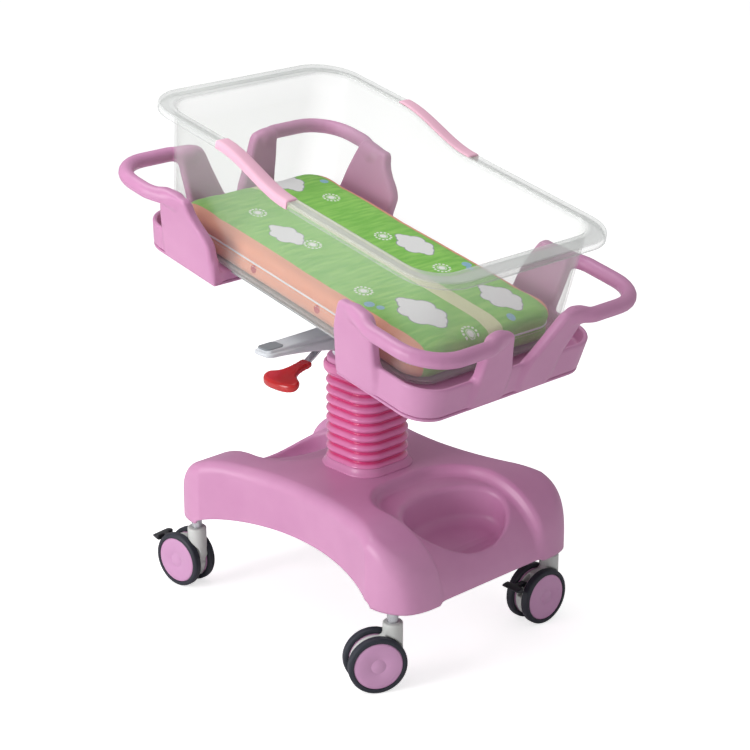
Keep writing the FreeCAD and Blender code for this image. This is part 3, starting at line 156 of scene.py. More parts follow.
# %% Zero level of a field
def cell_block(start, cells):
    """Slice of the grid's points that lie at one corner of every cell."""
    return tuple(slice(first, first + count) for first, count in zip(start, cells))


def skin(field, low, high, step):
    """Vertices and quads on the zero level of a field between two corners."""
    low, high = np.array(low, float), np.array(high, float)
    counts = np.ceil((high - low) / step).astype(int) + 1
    axes = [low[i] + step * np.arange(counts[i]) for i in range(3)]
    values = np.broadcast_to(field(*np.meshgrid(*axes, indexing="ij", sparse=True)), counts)
    solid, cells = values < 0, tuple(counts - 1)
    total, crossings = np.zeros(cells + (3,)), np.zeros(cells)
    for axis in range(3):
        for corner in range(4):
            start = [0, 0, 0]
            start[axis - 1], start[axis - 2] = corner % 2, corner // 2
            end = list(start)
            end[axis] = 1
            first, second = cell_block(start, cells), cell_block(end, cells)
            cross = solid[first] != solid[second]
            gap = np.where(cross, values[first] - values[second], 1)
            for i in range(3):
                total[..., i] += cross * (values[first] / gap if i == axis else start[i])
            crossings += cross
    used = crossings > 0
    number = np.full(cells, -1)
    number[used] = np.arange(used.sum())
    points = low + step * (np.argwhere(used) + total[used] / crossings[used][:, None])
    quads = []
    for axis in range(3):
        one, two = (axis + 1) % 3, (axis + 2) % 3
        start, end = [1, 1, 1], [1, 1, 1]
        start[axis], end[axis] = 0, 1
        count = [cells[i] - 1 for i in range(3)]
        count[axis] = cells[axis]
        lower = solid[cell_block(start, count)]
        upper = solid[cell_block(end, count)]
        ring = []
        for back_one, back_two in ((1, 1), (0, 1), (0, 0), (1, 0)):
            at = [1, 1, 1]
            at[axis] = 0
            at[one] -= back_one
            at[two] -= back_two
            ring.append(number[cell_block(at, count)])
        ring = np.stack(ring, -1)
        quads.append(ring[lower & ~upper])
        quads.append(ring[~lower & upper][:, ::-1])
    for _ in range(3):
        away = field(*points.T)
        slope = np.stack([field(*(points + nudge).T) - away for nudge in np.eye(3) * 0.1], 1) / 0.1
        size = np.maximum((slope ** 2).sum(1), 0.2)
        shift = -slope * (away / size)[:, None]
        points += np.clip(shift, -step / 2, step / 2)
    return points, np.concatenate(quads)


# %% Meshes from points
def rotated(angle, axis):
    """Turn by an angle in degrees."""
    return Matrix.Rotation(math.radians(angle), 4, axis)


def placed(points, matrix):
    """Points in millimetres, put in place and in metres."""
    points = np.asarray(points, float)
    turn = np.array(matrix.to_3x3())
    return (points @ turn.T + np.array(matrix.translation)) * MM


def piece(name, points, faces, matrix=None, smooth=True):
    """A new mesh object from points in millimetres."""
    mesh = bpy.data.meshes.new(name)
    mesh.from_pydata(placed(points, matrix or Matrix.Identity(4)).tolist(), [],
                     [list(map(int, face)) for face in faces])
    mesh.update()
    if smooth:
        mesh.shade_smooth()
    thing = bpy.data.objects.new(name, mesh)
    bpy.context.scene.collection.objects.link(thing)
    return thing


def moulded(name, field, low, high, step, matrix=None):
    """Piece from a distance field."""
    thing = piece(name, *skin(field, low, high, step), matrix)
    print(name, "faces:", len(thing.data.polygons))
    return thing


def joined(parts):
    """One (points, faces) set out of several."""
    points, faces, first = [], [], 0
    for part_points, part_faces in parts:
        points.append(np.asarray(part_points, float))
        faces += [[int(v) + first for v in face] for face in part_faces]
        first += len(part_points)
    return np.concatenate(points), faces


def dress(thing, body, slot, material, *nodes):
    """Finish a piece: material, the nodes that it stands for and the body it rides on; the slot argument is
    not used.
    """
    thing.data.materials.clear()
    thing.data.materials.append(material)
    if nodes:
        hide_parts(*nodes)
    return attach(thing, body)


def finished(thing):
    """Apply every modifier, and leave a plain mesh."""
    graph = bpy.context.evaluated_depsgraph_get()
    mesh = bpy.data.meshes.new_from_object(thing.evaluated_get(graph))
    thing.modifiers.clear()
    thing.data = mesh
    return thing


# %% [markdown]
# ## Finishes
# Each finish is a Principled shader with its own numbers on its own sockets. What several finishes
# share, such as moulding grain, a drift of tone and rubbed edges, is a node group that is built
# once and placed in each material. Every pattern reads Object coordinates, which sit still on the
# piece because its place is in its mesh.

# %% Node helpers
def feed(tree, made, **inputs):
    """Values or links for the inputs of a node, where i0 is its first input."""
    for key, value in inputs.items():
        numbered = key[0] == "i" and key[1:].isdigit()
        socket = made.inputs[int(key[1:]) if numbered else key.replace("_", " ")]
        value = value.socket if isinstance(value, Sum) else value
        if isinstance(value, bpy.types.NodeSocket):
            tree.links.new(value, socket)
        else:
            socket.default_value = value
    return made


def add(tree, kind, settings=None, **inputs):
    """A node with its settings and its inputs."""
    made = tree.nodes.new(kind)
    for key, value in (settings or {}).items():
        setattr(made, key, value)
    return feed(tree, made, **inputs)


def new_group(name, inputs, outputs, kind="ShaderNodeTree"):
    """An empty node group with named sockets."""
    group = bpy.data.node_groups.new(name, kind)
    for socket, socket_kind, value in inputs:
        made = group.interface.new_socket(socket, in_out="INPUT", socket_type="NodeSocket" + socket_kind)
        if value is not None:
            made.default_value = value
    for socket, socket_kind in outputs:
        group.interface.new_socket(socket, in_out="OUTPUT", socket_type="NodeSocket" + socket_kind)
    return group, group.nodes.new("NodeGroupInput"), group.nodes.new("NodeGroupOutput")


class Sum:
    """A number in a node tree. Adding to it or multiplying it makes a Math node."""

    def __init__(self, tree, socket):
        self.tree, self.socket = tree, socket

    def do(self, operation, second=0.0, third=None):
        """One Math node with this number first."""
        made = add(self.tree, "ShaderNodeMath", {"operation": operation}, i0=self.socket, i1=second)
        if third is not None:
            made.inputs[2].default_value = third
        return Sum(self.tree, made.outputs[0])

    def __add__(self, other):
        return self.do("ADD", other)

    def __sub__(self, other):
        return self.do("SUBTRACT", other)

    def __rsub__(self, other):
        return Sum(self.tree, other).do("SUBTRACT", self)

    def __mul__(self, other):
        return self.do("MULTIPLY", other)

    def __truediv__(self, other):
        return self.do("DIVIDE", other)


def numbers(node, *names):
    """Outputs of a node, ready for sums."""
    return [Sum(node.id_data, node.outputs[name]) for name in names]


def new_material(name):
    """An empty material with its tree and its Principled shader."""
    material = bpy.data.materials.new(name)
    material.use_nodes = True
    tree = material.node_tree
    return material, tree, tree.nodes["Principled BSDF"]


# %% Shared effects
grain, grain_in, grain_out = new_group(
    "moulding_grain", [("Vector", "Vector", None), ("Fineness", "Float", 900.0), ("Pits", "Float", 0.4)],
    [("Height", "Float")])
fine = add(grain, "ShaderNodeTexNoise", Vector=grain_in.outputs["Vector"], Scale=grain_in.outputs["Fineness"],
           Detail=3.0)
pits = add(grain, "ShaderNodeTexVoronoi", Vector=grain_in.outputs["Vector"],
           Scale=grain_in.outputs["Fineness"])
pit_share = numbers(pits, "Distance")[0] * grain_in.outputs["Pits"]
feed(grain, grain_out, Height=pit_share + fine.outputs["Fac"])

drift, drift_in, drift_out = new_group(
    "tone_drift", [("Vector", "Vector", None), ("Size", "Float", 6.0), ("Light", "Color", None),
                   ("Deep", "Color", None)], [("Color", "Color"), ("Mask", "Float")])
wide = add(drift, "ShaderNodeTexNoise", Vector=drift_in.outputs["Vector"], Scale=drift_in.outputs["Size"],
           Detail=4.0, Roughness=0.6)
spread = add(drift, "ShaderNodeMapRange", Value=wide.outputs["Fac"], i1=0.3, i2=0.7)
tone = add(drift, "ShaderNodeMix", {"data_type": "RGBA"}, i0=spread.outputs["Result"],
           i6=drift_in.outputs["Deep"], i7=drift_in.outputs["Light"])
feed(drift, drift_out, Color=tone.outputs[2], Mask=spread.outputs["Result"])

wear, wear_in, wear_out = new_group(
    "rubbed_edges", [("Vector", "Vector", None), ("Pointiness", "Float", 0.5), ("Amount", "Float", 0.5)],
    [("Mask", "Float")])
patches = add(wear, "ShaderNodeTexNoise", Vector=wear_in.outputs["Vector"], Scale=60.0, Detail=5.0)
ridge = add(wear, "ShaderNodeMapRange", Value=wear_in.outputs["Pointiness"], i1=0.52, i2=0.62)
uneven = numbers(ridge, "Result")[0] * patches.outputs["Fac"]
feed(wear, wear_out, Mask=uneven * wear_in.outputs["Amount"])

brush, brush_in, brush_out = new_group(
    "brushed_lines", [("Vector", "Vector", None), ("Along", "Vector", (1.0, 1.0, 1.0))],
    [("Height", "Float")])
pulled = add(brush, "ShaderNodeMapping", Vector=brush_in.outputs["Vector"], Scale=brush_in.outputs["Along"])
lines = add(brush, "ShaderNodeTexNoise", Vector=pulled.outputs["Vector"], Scale=600.0, Detail=3.0)
feed(brush, brush_out, Height=lines.outputs["Fac"])


def use(tree, group, **inputs):
    """Place a node group."""
    made = tree.nodes.new("ShaderNodeGroup")
    made.node_tree = group
    return feed(tree, made, **inputs)


def shade(red, green, blue):
    """A screen colour of 0 to 255 as a linear one."""
    linear = [((c / 255 + 0.055) / 1.055) ** 2.4 if c > 10 else c / 3295 for c in (red, green, blue)]
    return (*linear, 1.0)


def layer(tree, below, mask, colour):
    """Paint a colour over another where the mask is 1."""
    return add(tree, "ShaderNodeMix", {"data_type": "RGBA"}, i0=mask, i6=below, i7=colour).outputs[2]


# %% Plain finishes with grain, drift and wear
GRAIN_STRENGTH, GRAIN_DISTANCE = 10.0, 0.0002


def finish(name, light, deep, roughness, fineness=900.0, depth=0.02, metallic=0.0, worn=None, wear_amount=0.6,
           **sockets):
    """A solid finish. Light and deep are its two tones, roughness its range."""
    material, tree, shader = new_material(name)
    here = add(tree, "ShaderNodeTexCoord").outputs["Object"]
    tone = use(tree, drift, Vector=here, Light=shade(*light), Deep=shade(*deep))
    colour = tone.outputs["Color"]
    if worn:
        geometry = add(tree, "ShaderNodeNewGeometry")
        rubbed = use(tree, wear, Vector=here, Pointiness=geometry.outputs["Pointiness"], Amount=wear_amount)
        colour = layer(tree, colour, rubbed.outputs["Mask"], shade(*worn))
    height = use(tree, grain, Vector=here, Fineness=fineness)
    gloss = add(tree, "ShaderNodeMapRange", Value=tone.outputs["Mask"], i3=roughness[0], i4=roughness[1])
    bump = add(tree, "ShaderNodeBump", Strength=depth * GRAIN_STRENGTH, Distance=GRAIN_DISTANCE,
               Height=height.outputs["Height"])
    feed(tree, shader, Base_Color=colour, Roughness=gloss.outputs["Result"], Normal=bump.outputs["Normal"],
         Metallic=metallic, **sockets)
    return material


PINK = finish("pink_moulding", (214, 152, 192), (205, 140, 183), (0.34, 0.47), worn=(230, 180, 212))
DISC_PINK = finish("disc_pink", (214, 162, 202), (206, 150, 193), (0.34, 0.44), worn=(226, 180, 212))
COVER_PINK = finish("cover_pink", (220, 146, 190), (208, 132, 178), (0.3, 0.42), worn=(230, 172, 208))
STRIP_PINK = finish("strip_pink", (248, 196, 216), (240, 184, 208), (0.45, 0.6), fineness=1500.0, depth=0.04)
HOUSING = finish("housing_grey", (214, 216, 213), (196, 198, 195), (0.3, 0.45), worn=(220, 220, 214))
TYRE = finish("tyre_navy", (42, 46, 58), (26, 29, 40), (0.45, 0.62), fineness=1400.0, depth=0.05,
              worn=(84, 88, 100), wear_amount=0.8)
PEDAL = finish("pedal_black", (36, 38, 44), (22, 24, 28), (0.4, 0.55), worn=(80, 82, 88))
HEAD_GREY = finish("head_grey", (222, 225, 229), (204, 208, 214), (0.38, 0.5), fineness=500.0, depth=0.05,
                   worn=(214, 218, 224))
PAD_GREY = finish("pad_grey", (140, 145, 150), (122, 127, 133), (0.6, 0.75), fineness=1600.0, depth=0.08)
LEVER_RED = finish("lever_red", (204, 30, 32), (182, 20, 24), (0.2, 0.32), worn=(222, 70, 66),
                   Coat_Weight=0.3)
PANEL_GREY = finish("panel_grey", (178, 180, 180), (158, 160, 160), (0.4, 0.55))
STEEL_PAINT = finish("painted_steel", (172, 176, 180), (150, 154, 158), (0.35, 0.5), fineness=400.0,
                     depth=0.06)
BRIGHT = finish("bright_steel", (206, 208, 212), (176, 179, 184), (0.14, 0.3), metallic=1.0, depth=0.01)
CHROME = finish("chrome_rod", (226, 228, 230), (206, 208, 212), (0.05, 0.12), metallic=1.0, depth=0.005)
BUSH_WHITE = finish("bush_white", (232, 232, 226), (216, 216, 210), (0.4, 0.5))
BRASS = finish("washer_brass", (200, 168, 96), (176, 144, 76), (0.25, 0.4), metallic=1.0)
PIPING = finish("mattress_piping", (244, 244, 246), (228, 230, 236), (0.7, 0.85), fineness=2500.0, depth=0.15)
THREAD = finish("mattress_thread", (236, 226, 220), (214, 200, 192), (0.7, 0.85), fineness=3000.0, depth=0.2)
print("finishes:", len(bpy.data.materials))

# %% [markdown]
# ## The moulded base
# The base is one rotomoulded cover: a waisted plan, a level top that rolls over into the ends, two
# sunk channels and a deep oval bowl at each end. It is a distance field, so the ridge, the channel
# rims and the bowl rims all get their own round. The skin is left open below, its foot is raised
# into the arches, and Solidify gives the wall its thickness.

# %% Base sizes
BASE_HALF_X, BASE_HALF_Y, BASE_CORNER, BASE_WAIST = 306.0, 215.0, 78.0, 169.0
BASE_FOOT_Z, BASE_TOP_Z, BASE_WALL = 139.0, 266.0, 4.0
END_ROUND_X, END_ROUND_Z, END_CROWN = 138.0, 110.0, 3.0
RIDGE_R, SUNK_R = 22.0, 11.0
CHANNEL_X, CHANNEL_HALF_X, CHANNEL_HALF_Y, CHANNEL_CORNER = 394.0, 306.0, 120.0, 84.0
CHANNEL_DROP, CHANNEL_INSET, CHANNEL_FOOT_R = 17.0, 9.0, 12.0
BOWL_X, BOWL_HALF_X, BOWL_HALF_Y = 210.0, 73.0, 105.0
BOWL_TAPER, BOWL_FLOOR_Z, BOWL_FOOT_R, BOWL_MOUTH_R = 9.0, 175.0, 22.0, 9.0
ARCH_HALF, ARCH_RISE, ARCH_FADE_Z = 228.0, 32.0, 205.0
END_ARCH_HALF, END_ARCH_RISE, END_ARCH_RUN, END_ARCH_X = 124.0, 3.0, 6.0, 250.0
MAST_X = -8.0
COLUMN_HOLE_R = 39.0


def waisted_plan(x, y):
    """Outline seen from above: round corners and a hollow long side."""
    end_x = BASE_HALF_X + END_CROWN
    corner_x, dip = end_x - BASE_CORNER, BASE_HALF_Y - BASE_WAIST
    lean = math.asin(corner_x / ((corner_x ** 2 + dip ** 2) / (2 * dip)))
    touch_x = corner_x - BASE_CORNER * math.sin(lean)
    rise = BASE_HALF_Y - BASE_CORNER + BASE_CORNER * math.cos(lean) - BASE_WAIST
    hollow_r = (touch_x ** 2 + rise ** 2) / (2 * rise)
    block = rounded_plan(x, y, end_x, BASE_HALF_Y, BASE_CORNER)
    return np.maximum(block, hollow_r - np.hypot(x, np.abs(y) - BASE_WAIST - hollow_r))


def rolled_top(x, z, drop, inset):
    """Side view: level top, ends rolled over."""
    from_x = np.abs(x) - (BASE_HALF_X - inset - END_ROUND_X)
    from_z = z - (BASE_TOP_Z - drop - END_ROUND_Z)
    corner = oval(np.maximum(from_x, 0), np.maximum(from_z, 0), END_ROUND_X, END_ROUND_Z)
    inner = np.maximum(from_x - END_ROUND_X, from_z - END_ROUND_Z)
    return np.where((from_x > 0) | (from_z > 0), corner, inner)


def base_field(x, y, z):
    """The whole cover as a solid, open below."""
    block = both(waisted_plan(x, y), rolled_top(x, z, 0.0, 0.0), RIDGE_R)
    run = np.abs(x)
    channel_plan = rounded_plan(run - CHANNEL_X, y, CHANNEL_HALF_X, CHANNEL_HALF_Y, CHANNEL_CORNER)
    channel = both(channel_plan, -rolled_top(x, z, CHANNEL_DROP, CHANNEL_INSET), CHANNEL_FOOT_R)
    taper = BOWL_TAPER * (BASE_TOP_Z - z) / (BASE_TOP_Z - BOWL_FLOOR_Z)
    bowl_plan = oval(run - BOWL_X, y, BOWL_HALF_X - taper, BOWL_HALF_Y - taper)
    bowl = both(bowl_plan, BOWL_FLOOR_Z - z, BOWL_FOOT_R)
    block = carve(block, either(channel, bowl, BOWL_MOUTH_R), SUNK_R)
    return carve(block, np.hypot(x - MAST_X, y) - COLUMN_HOLE_R, 2.0)


# %% Make the base
base_step = 4.0
points, quads = skin(base_field, (-322, -230, BASE_FOOT_Z - base_step / 2), (322, 230, 276), base_step)
points[points[:, 2] < BASE_FOOT_Z + base_step / 2, 2] = BASE_FOOT_Z
arch = ARCH_RISE * np.sqrt(np.maximum(1 - (points[:, 0] / ARCH_HALF) ** 2, 0))
end_arch = END_ARCH_RISE * np.clip((END_ARCH_HALF - np.abs(points[:, 1])) / END_ARCH_RUN, 0, 1)
end_arch *= np.abs(points[:, 0]) > END_ARCH_X
points[:, 2] += (arch + end_arch) * np.clip((ARCH_FADE_Z - points[:, 2]) / (ARCH_FADE_Z - BASE_FOOT_Z), 0, 1)
base_cover = piece("base_cover", points, quads)
wall = base_cover.modifiers.new("wall", "SOLIDIFY")
wall.thickness, wall.offset = BASE_WALL * MM, -1.0
finished(base_cover)
dress(base_cover, "base", "pink_moulding", PINK, "base_shell")
print("base faces:", len(base_cover.data.polygons))

# %% [markdown]
# ## The end trays with their handles
# Each tray is one moulding whose four fin-like posts swell into two round grab bars. The wall leans
# out as it rises and the posts lean out twice as much. All of it is one field again, drawn level
# about the deck and tipped on to it by DECK. The posts are outlines with their corners cut to a
# curve, and the bars are a fixed distance from a smooth path.

# %% Deck place
DECK_ANGLE = 11.5
DECK = Matrix.Translation((MAST_X, 0, 512.0)) @ rotated(DECK_ANGLE, "Y") @ Matrix.Translation((-32.0, 0, 0))
TRAY_HALF_Y, TRAY_CORNER, TRAY_SPREAD = 200.0, 52.0, math.tan(math.radians(8.0))
TRAY_LOW, TRAY_FLOOR, TRAY_RIM, TRAY_SEAM = 49.0, 68.0, 94.0, 6.0
TRAY_WALL, WALL_R, POST_R, BLEND_R = 8.0, 4.5, 7.0, 9.0
POST_SPREAD, POST_PROUD, POST_THICK, POST_TOP = math.tan(math.radians(16.0)), 2.0, 20.0, 188.0
SIDE_POST_TOP_LENGTH = 62.0
BAR_R, BAR_Y, BAR_Z, BAR_REACH, BAR_BENDS = 13.0, 250.0, 175.0, 43.0, [52, 70, 31]


def rounded_path(corners, radii, pieces=9):
    """Straight runs joined by arcs, as a list of points."""
    corners = [np.array(corner, float) for corner in corners]
    path = [corners[0]]
    for before, corner, after, radius in zip(corners, corners[1:], corners[2:], radii):
        back = (before - corner) / np.linalg.norm(before - corner)
        on = (after - corner) / np.linalg.norm(after - corner)
        half = math.acos(np.clip(back @ on, -1, 1)) / 2
        middle = (back + on) / np.linalg.norm(back + on)
        centre = corner + middle * radius / math.sin(half)
        for share in np.linspace(0, 1, pieces):
            swing = (share * 2 - 1) * (math.pi / 2 - half)
            across = (on - back) / np.linalg.norm(on - back)
            path.append(centre - middle * radius * math.cos(swing) + across * radius * math.sin(swing))
    path.append(corners[-1])
    return path


class TrayEnd:
    """Sizes that differ between the foot tray and the head tray."""

    def __init__(self, name, start, reach, low, post_length, rise):
        self.name, self.start, self.reach, self.low = name, start, reach, low
        top_start, end = start + rise, start + post_length
        top_end = top_start + SIDE_POST_TOP_LENGTH
        self.side_post = softened([
            (start, TRAY_LOW - 30), (start, TRAY_RIM + 10), (start + 2, TRAY_RIM + 36),
            (top_start - 12, POST_TOP - 26), (top_start - 3, POST_TOP), (top_start + 14, POST_TOP),
            (top_end - 14, POST_TOP), (top_end + 3, POST_TOP - 1), (top_end + 9, POST_TOP - 22),
            (end + 1, TRAY_RIM + 20), (end, TRAY_LOW - 30)])
        self.end_post = softened([
            (16, TRAY_LOW - 30), (17, TRAY_RIM), (26, TRAY_RIM + 17), (47, POST_TOP - 34),
            (58, POST_TOP - 6), (72, POST_TOP), (100, POST_TOP), (111, POST_TOP - 6),
            (109, POST_TOP - 34), (96, TRAY_RIM), (91, TRAY_LOW - 30)])
        bar_x, bar_end_y = reach + BAR_REACH, 118.0
        self.bar = rounded_path(
            [(top_start + 31, 228.1, BAR_Z), (top_start + 83, BAR_Y, BAR_Z), (bar_x, BAR_Y, BAR_Z),
             (bar_x, bar_end_y, BAR_Z), (reach + 28.1, 87.0, BAR_Z)], BAR_BENDS)

    def plan(self, x, y, z):
        """Distance from the wall, which leans out as it rises."""
        return rounded_plan(x, y, self.reach, TRAY_HALF_Y, TRAY_CORNER) - (z - TRAY_LOW) * TRAY_SPREAD

    def field(self, x, y, z):
        """The tray with its posts and bars, drawn for the foot end."""
        y = np.abs(y)
        plan, low = self.plan(x, y, z), self.low + TRAY_SEAM
        outer = both(plan, between(z, low, TRAY_RIM), WALL_R)
        pocket = both(plan + TRAY_WALL, TRAY_FLOOR - z, 6.0)
        tray = carve(both(outer, self.start - x, 3.0), pocket, 3.5)
        out = POST_PROUD + (z - TRAY_LOW) * POST_SPREAD
        side = both(outline(self.side_post, x, z), between(y - TRAY_HALF_Y - out, -POST_THICK, 0), POST_R)
        end = both(outline(self.end_post, y, z), between(x - self.reach - out, -POST_THICK, 0), POST_R)
        posts = both(np.minimum(side, end), low - z, 2.0)
        tray = either(tray, posts, BLEND_R)
        bar = path_distance(self.bar, x, y, z) - BAR_R
        return either(tray, bar, BLEND_R)

    def base_field(self, x, y, z):
        """The closing plate under the tray."""
        plan = both(self.plan(x, y, z), self.start - x, 3.0)
        return both(plan, between(z, self.low, self.low + TRAY_SEAM - 0.6), 2.4)


# %% Make both trays
def tray_pieces(end, direction):
    """One tray with its bars, and its base plate."""
    frame_turn = DECK @ Matrix.Scale(direction, 4, (1, 0, 0))
    low, high = (end.start - 8, -274, end.low - 6), (end.reach + 64, 274, 194)
    points, quads = skin(end.field, low, high, 3.0)
    base_points, base_quads = skin(end.base_field, low, (end.reach + 10, 204, end.low + 14), 2.4)
    if direction < 0:
        quads, base_quads = quads[:, ::-1], base_quads[:, ::-1]
    tray = piece(end.name + "_tray_moulding", points, quads, frame_turn)
    dress(tray, "bed", "pink_moulding", PINK, end.name + "_tray", "handle_" + end.name + "_near",
          "handle_" + end.name + "_far")
    plate = piece(end.name + "_tray_closing_plate", base_points, base_quads, frame_turn)
    dress(plate, "bed", "pink_moulding", PINK, end.name + "_tray_base")
    print(tray.name, "faces:", len(tray.data.polygons))


FOOT = TrayEnd("foot", 166.0, 365.0, 32.0, 94.0, 24.0)
HEAD = TrayEnd("head", 146.0, 348.0, 44.0, 134.0, 55.0)
tray_pieces(FOOT, 1)
tray_pieces(HEAD, -1)

# %% [markdown]
# ## The clear tub
# The tub is a thin clear shell that leans outwards, with a flat rim that steps down half way along
# and a turned-down lip. One closed cross-section is carried round the plan, ring by ring, so the
# wall has a true thickness all the way, which is what makes its edges catch the light.

# %% Rings round a plan
def plan_ring(half_x, half_y, radius, along=28, corner=10):
    """Points round a rounded rectangle, in the same number and order for every size."""
    ring = []
    for number, (sx, sy) in enumerate(((1, -1), (1, 1), (-1, 1), (-1, -1))):
        centre = np.array([sx * (half_x - radius), sy * (half_y - radius)])
        start = math.radians(-90 + 90 * number)
        for share in np.linspace(0, 1, corner, endpoint=False):
            angle = start + share * math.pi / 2
            ring.append(centre + radius * np.array([math.cos(angle), math.sin(angle)]))
        angle = start + math.pi / 2
        corner_end = centre + radius * np.array([math.cos(angle), math.sin(angle)])
        following = ((1, 1), (-1, 1), (-1, -1), (1, -1))[number]
        next_centre = np.array([following[0] * (half_x - radius), following[1] * (half_y - radius)])
        next_start = next_centre + radius * np.array([math.cos(angle), math.sin(angle)])
        for share in np.linspace(0, 1, along, endpoint=False):
            ring.append(corner_end + (next_start - corner_end) * share)
    return np.array(ring)


def ring_faces(rings, count, closed=False):
    """Quads between neighbouring rings."""
    faces = []
    spans = rings if closed else rings - 1
    for ring in range(spans):
        low, high = ring * count, (ring + 1) % rings * count
        for spot in range(count):
            following = (spot + 1) % count
            faces.append((low + spot, low + following, high + following, high + spot))
    return faces


TUB_LOW_X, TUB_LOW_Y, TUB_HIGH_X, TUB_HIGH_Y, TUB_CORNER = 326.0, 178.0, 334.0, 197.0, 56.0
RIM_X, RIM_Y, RIM_CORNER = 367.0, 217.0, 76.0
RIM_LOW, RIM_HIGH, TUB_WALL, TUB_FLOOR_R = 278.0, 310.0, 4.0, 18.0
INNER_FLOOR_R = TUB_FLOOR_R - TUB_WALL
STEP_START, STEP_LENGTH = -152.0, 168.0


def rim_height(x):
    """Top of the rim: high at the head, low at the foot, and a double bend between."""
    share = np.clip((x - STEP_START) / STEP_LENGTH, 0, 1)
    return RIM_HIGH - (RIM_HIGH - RIM_LOW) * share ** 2 * (3 - 2 * share)


def tub_ring(height, inset):
    """Ring on the wall's skin at a height, or at a share of the way up to the rim."""
    share = (height - TRAY_FLOOR) / (RIM_HIGH - TRAY_FLOOR)
    lean_x, lean_y = (TUB_HIGH_X - TUB_LOW_X) * share, (TUB_HIGH_Y - TUB_LOW_Y) * share
    return plan_ring(TUB_LOW_X + lean_x - inset, TUB_LOW_Y + lean_y - inset, TUB_CORNER - inset)


def wall_ring(share, inset):
    """Ring at a share of the way from floor to rim, where the rim's own height counts."""
    flat = tub_ring(RIM_HIGH, inset)
    low = tub_ring(TRAY_FLOOR, inset)
    top = rim_height(flat[:, 0])
    up = TRAY_FLOOR + (top - TRAY_FLOOR) * share
    mix = ((up - TRAY_FLOOR) / (RIM_HIGH - TRAY_FLOOR))[:, None]
    return np.column_stack([low + (flat - low) * mix, up])


def flange_ring(out, drop):
    """Ring on the rim: out is 0 at the wall and 1 at the lip, drop is below the rim's top."""
    wall = wall_ring(1.0, 0.0)
    lip = plan_ring(RIM_X, RIM_Y, RIM_CORNER)
    flat = wall[:, :2] + (lip - wall[:, :2]) * out
    return np.column_stack([flat, rim_height(flat[:, 0]) - drop])


def shrunk(ring, share):
    """Ring pulled towards the middle line of the floor."""
    centre = ring.copy()
    centre[:, 0] = np.clip(ring[:, 0], -150, 150) * share
    centre[:, 1] = 0
    return centre + (ring - centre) * share


def tub_rings():
    """Closed cross-section from the middle of the floor inside, over the rim, to the middle below."""
    def bend(inset, radius, angle, base):
        """Ring on the round between floor and wall."""
        flat = tub_ring(TRAY_FLOOR, inset + radius * (1 - math.sin(math.radians(angle))))
        up = base + radius * (1 - math.cos(math.radians(angle)))
        return np.column_stack([flat, np.full(len(flat), up)])

    inner_floor = tub_ring(TRAY_FLOOR, TUB_FLOOR_R)
    inner_floor = np.column_stack([inner_floor, np.full(len(inner_floor), TRAY_FLOOR + TUB_WALL)])
    rings = [shrunk(inner_floor, share) for share in (0.02, 0.3, 0.6, 0.85, 1.0)]
    rings += [bend(TUB_WALL, INNER_FLOOR_R, angle, TRAY_FLOOR + TUB_WALL) for angle in np.linspace(15, 75, 5)]
    rings += [wall_ring(share, TUB_WALL) for share in (0.08, 0.2, 0.4, 0.6, 0.8, 0.95, 0.985)]
    lip_section = [
        (-0.1, 1.6), (-0.04, 0.2), (0.03, -0.9), (0.12, -1.2), (0.2, -0.6), (0.28, 0.2), (0.4, 0.3),
        (0.74, 0.3), (0.82, 0.1), (0.9, -0.9), (0.96, -0.8), (0.99, 0.4), (1.0, 2.2), (1.0, 6.0),
        (1.0, 11.0), (0.985, 12.0), (0.9, 12.0), (0.88, 11.0), (0.88, 6.0), (0.85, 4.4), (0.7, 3.9),
        (0.3, 3.9), (0.08, 3.9)]
    rings += [flange_ring(out, drop) for out, drop in lip_section]
    rings += [wall_ring(share, 0.0) for share in (0.96, 0.8, 0.6, 0.4, 0.2, 0.09)]
    rings += [bend(0.0, TUB_FLOOR_R, angle, TRAY_FLOOR + 0.05) for angle in np.linspace(75, 0, 6)]
    outer_floor = rings[-1]
    return rings + [shrunk(outer_floor, share) for share in (0.85, 0.6, 0.3, 0.02)]


def faced_out(thing):
    """Every face turned outwards."""
    bm = bmesh.new()
    bm.from_mesh(thing.data)
    bmesh.ops.recalc_face_normals(bm, faces=bm.faces)
    bm.to_mesh(thing.data)
    bm.free()
    return thing


# %% Make the tub
rings = tub_rings()
count = len(rings[0])
tub_points = np.concatenate(rings)
tub_faces = ring_faces(len(rings), count)
tub_faces.append(tuple(range(count))[::-1])
tub_faces.append(tuple(range(len(tub_points) - count, len(tub_points))))
clear_tub = faced_out(piece("clear_tub", tub_points, tub_faces, DECK))


def clear_finish():
    """Clear acrylic: light goes straight through, grazing and level surfaces turn pale."""
    material, tree, shader = new_material("clear_tub")
    here = add(tree, "ShaderNodeTexCoord").outputs["Object"]
    tone = use(tree, drift, Vector=here, Light=shade(222, 225, 223), Deep=shade(210, 214, 212))
    grazing = add(tree, "ShaderNodeLayerWeight", Blend=0.16)
    haze = add(tree, "ShaderNodeMapRange", Value=grazing.outputs["Facing"], i3=0.03, i4=0.45)
    normal = add(tree, "ShaderNodeSeparateXYZ", Vector=add(tree, "ShaderNodeNewGeometry").outputs["Normal"])
    level_part = numbers(normal, "Z")[0].do("ABSOLUTE") * 0.34
    gloss = add(tree, "ShaderNodeMapRange", Value=tone.outputs["Mask"], i3=0.06, i4=0.14)
    scuffs = use(tree, brush, Vector=here, Along=(0.2, 1.0, 1.0))
    bump = add(tree, "ShaderNodeBump", Strength=0.05, Distance=0.0001, Height=scuffs.outputs["Height"])
    feed(tree, shader, Base_Color=tone.outputs["Color"], Alpha=level_part + haze.outputs["Result"],
         Roughness=gloss.outputs["Result"], Normal=bump.outputs["Normal"], IOR=1.49)
    return material


